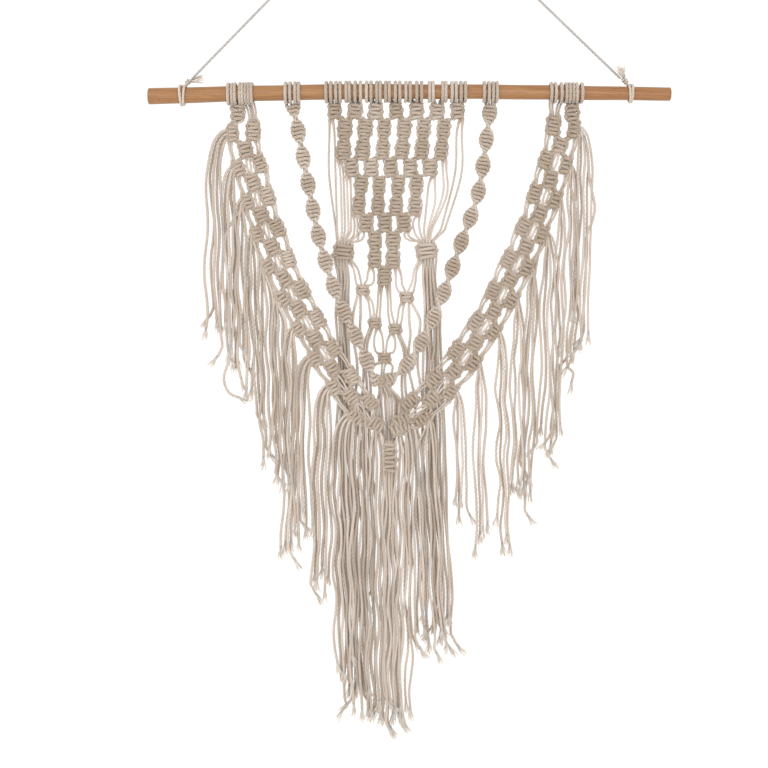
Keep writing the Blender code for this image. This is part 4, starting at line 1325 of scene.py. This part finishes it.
# %% [markdown]
# ## The tassel in the middle
#
# A small square knot joins the ends of the spirals. Below it eight strands fan out behind the
# tips of the bands, are tied once more in one thick sinnet and fall in the middle of the
# fringe. The fan is made of new strands, which start inside the joint knot.

# %% Joint knot, fan, bottom sinnet and its fringe
JOINT_HALF_WIDTH = 3.2                 # mm
JOINT_HALF_LENGTH = 4.4
JOINT_HALVES = 3
JOINT_FRONT, JOINT_GAP = 2.8, 2.4      # how far forward its ridges stand, between its strands
FAN = (                                # x where each strand hangs apart, x in the bottom sinnet
    (-20.6, -14.0), (-17.6, -12.6), (-13.6, -11.2), (-10.6, -9.8),
    (-7.4, -8.8), (-4.2, -7.6), (-1.6, -6.2), (1.0, -4.8),
)
FAN_BACK = 7.4                         # y of the fan, behind the tips of the bands
BOTTOM_KNOT = (-9.4, -570.0, -598.5)   # x, top z, bottom z
BOTTOM_HALVES = 7
BOTTOM_HALF_WIDTH = 6.2
BOTTOM_FRONT = 4.4
BOTTOM_GAP, BOTTOM_DEEP = 1.35, 1.4    # between the strands inside it, across and in depth
BOTTOM_END = (-8.5, -818.0)            # x and z


def tie_tassel():
    """The strands of the joint knot, and those of the fan down to their ends."""
    x, top, bottom = BOTTOM_KNOT
    joint_x, joint_z = JOINT_KNOT
    tied = [Strand((joint_x + 2.2 * (i - 1.5), 1.0, joint_z + 5.0)) for i in range(4)]
    square_knots(tied, (joint_x, -0.5, joint_z + JOINT_HALF_LENGTH),
                 (joint_x, -0.5, joint_z - JOINT_HALF_LENGTH), JOINT_HALVES,
                 JOINT_HALF_WIDTH, JOINT_FRONT, JOINT_GAP)
    middle = (len(FAN) - 1) / 2
    fan = []
    for i, (hang_x, foot_x) in enumerate(FAN):
        layer = 0.5 * LAYER * (-1) ** i
        strand = Strand((joint_x + 0.9 * (i - middle), layer, joint_z - 1.0), radius=HANGING)
        strand.swing((0.4 * joint_x + 0.6 * hang_x, 0.6 * FAN_BACK + layer, joint_z - 9.0),
                     (hang_x, FAN_BACK + layer, joint_z - 20.0),
                     (0.4 * hang_x + 0.6 * foot_x, FAN_BACK + layer, top + 4.0),
                     (foot_x, 2.4 + layer, top + 1.0))
        fan.append(strand)
    square_knots(fan, (x, 0.0, top), (x, 0.0, bottom), BOTTOM_HALVES, BOTTOM_HALF_WIDTH,
                 BOTTOM_FRONT, BOTTOM_GAP, BOTTOM_DEEP)
    for i, strand in enumerate(sorted(fan, key=lambda strand: strand.end()[0])):
        end_x, end_z = BOTTOM_END
        place, layer = i - middle, LAYER * 0.8 * (-1) ** i
        tip = end_z + 0.5 * TIPS_WITHIN * vary(i, 40, 1)
        let_fall(strand, [(x + 1.5 * place, layer, bottom - 14.0),
                          (0.5 * (x + end_x) + 2.1 * place, layer, 0.5 * (bottom + tip)),
                          (end_x + 2.5 * place, layer, tip)], 40, 40 + i)
    return tied + fan


draw("centre_tassel_cords", tie_tassel(), 1.6, unbleached_cotton, "cotton_cord",
     "centre_tassel")

# %% [markdown]
# ## Floor and light
#
# A pale matt floor below the fringe, a white surround that lights the cotton evenly from all
# sides, and two large soft lights in front of it. The one on the left gives the knots their
# small shadows, and the one on the right keeps those shadows light.

# %% Floor
FLOOR_Z = -0.96                        # metres
FLOOR_HALF = 3.0

floor_mesh = bpy.data.meshes.new("floor")
floor_mesh.from_pydata([(-FLOOR_HALF, -FLOOR_HALF, FLOOR_Z), (FLOOR_HALF, -FLOOR_HALF, FLOOR_Z),
                        (FLOOR_HALF, FLOOR_HALF, FLOOR_Z), (-FLOOR_HALF, FLOOR_HALF, FLOOR_Z)],
                       [], [(0, 1, 2, 3)])
floor = bpy.data.objects.new("floor", floor_mesh)
bpy.context.scene.collection.objects.link(floor)
matt, _, matt_shader = new_finish("matt_white_floor")
set_values(matt_shader, {"Base Color": linear("#FBFAF9"), "Roughness": 0.9})
floor_mesh.materials.append(matt)
floor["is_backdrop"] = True
print(f"floor {2 * FLOOR_HALF} m wide, at {FLOOR_Z} m")

# %% Light
world = bpy.data.worlds.new("white_surround")
world.use_nodes = True
set_values(world.node_tree.nodes["Background"], {"Color": linear("#FFFFFF"), "Strength": 1.08})
bpy.context.scene.world = world
bpy.context.scene.view_settings.view_transform = "Standard"

LIGHTS = (
    # name, place and width in metres, power in watts
    ("soft_key", (-1.1, -1.9, 0.4), 1.6, 12.0),
    ("soft_fill", (0.3, -2.1, -0.4), 1.0, 12.0),
)
for name, place, width, power in LIGHTS:
    lamp = bpy.data.lights.new(name, "AREA")
    lamp.shape, lamp.size, lamp.energy = "SQUARE", width, power
    light = bpy.data.objects.new(name, lamp)
    light.location = place
    light.rotation_euler = (Vector(VIEW_MIDDLE) * MM - Vector(place)).to_track_quat(
        "-Z", "Y").to_euler()
    bpy.context.scene.collection.objects.link(light)
    print(f"{name}: {width} m wide, {power} W")

# %% [markdown]
# ## Sizes, and the end
#
# The drawn cords don't fill the plain solids exactly, so the dressed hanging is measured and its
# size printed.

# %% Sizes, and the end
bpy.context.view_layer.update()
low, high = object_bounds()
print("dressed size, mm:", [round((b - a) / MM, 1) for a, b in zip(low, high)])
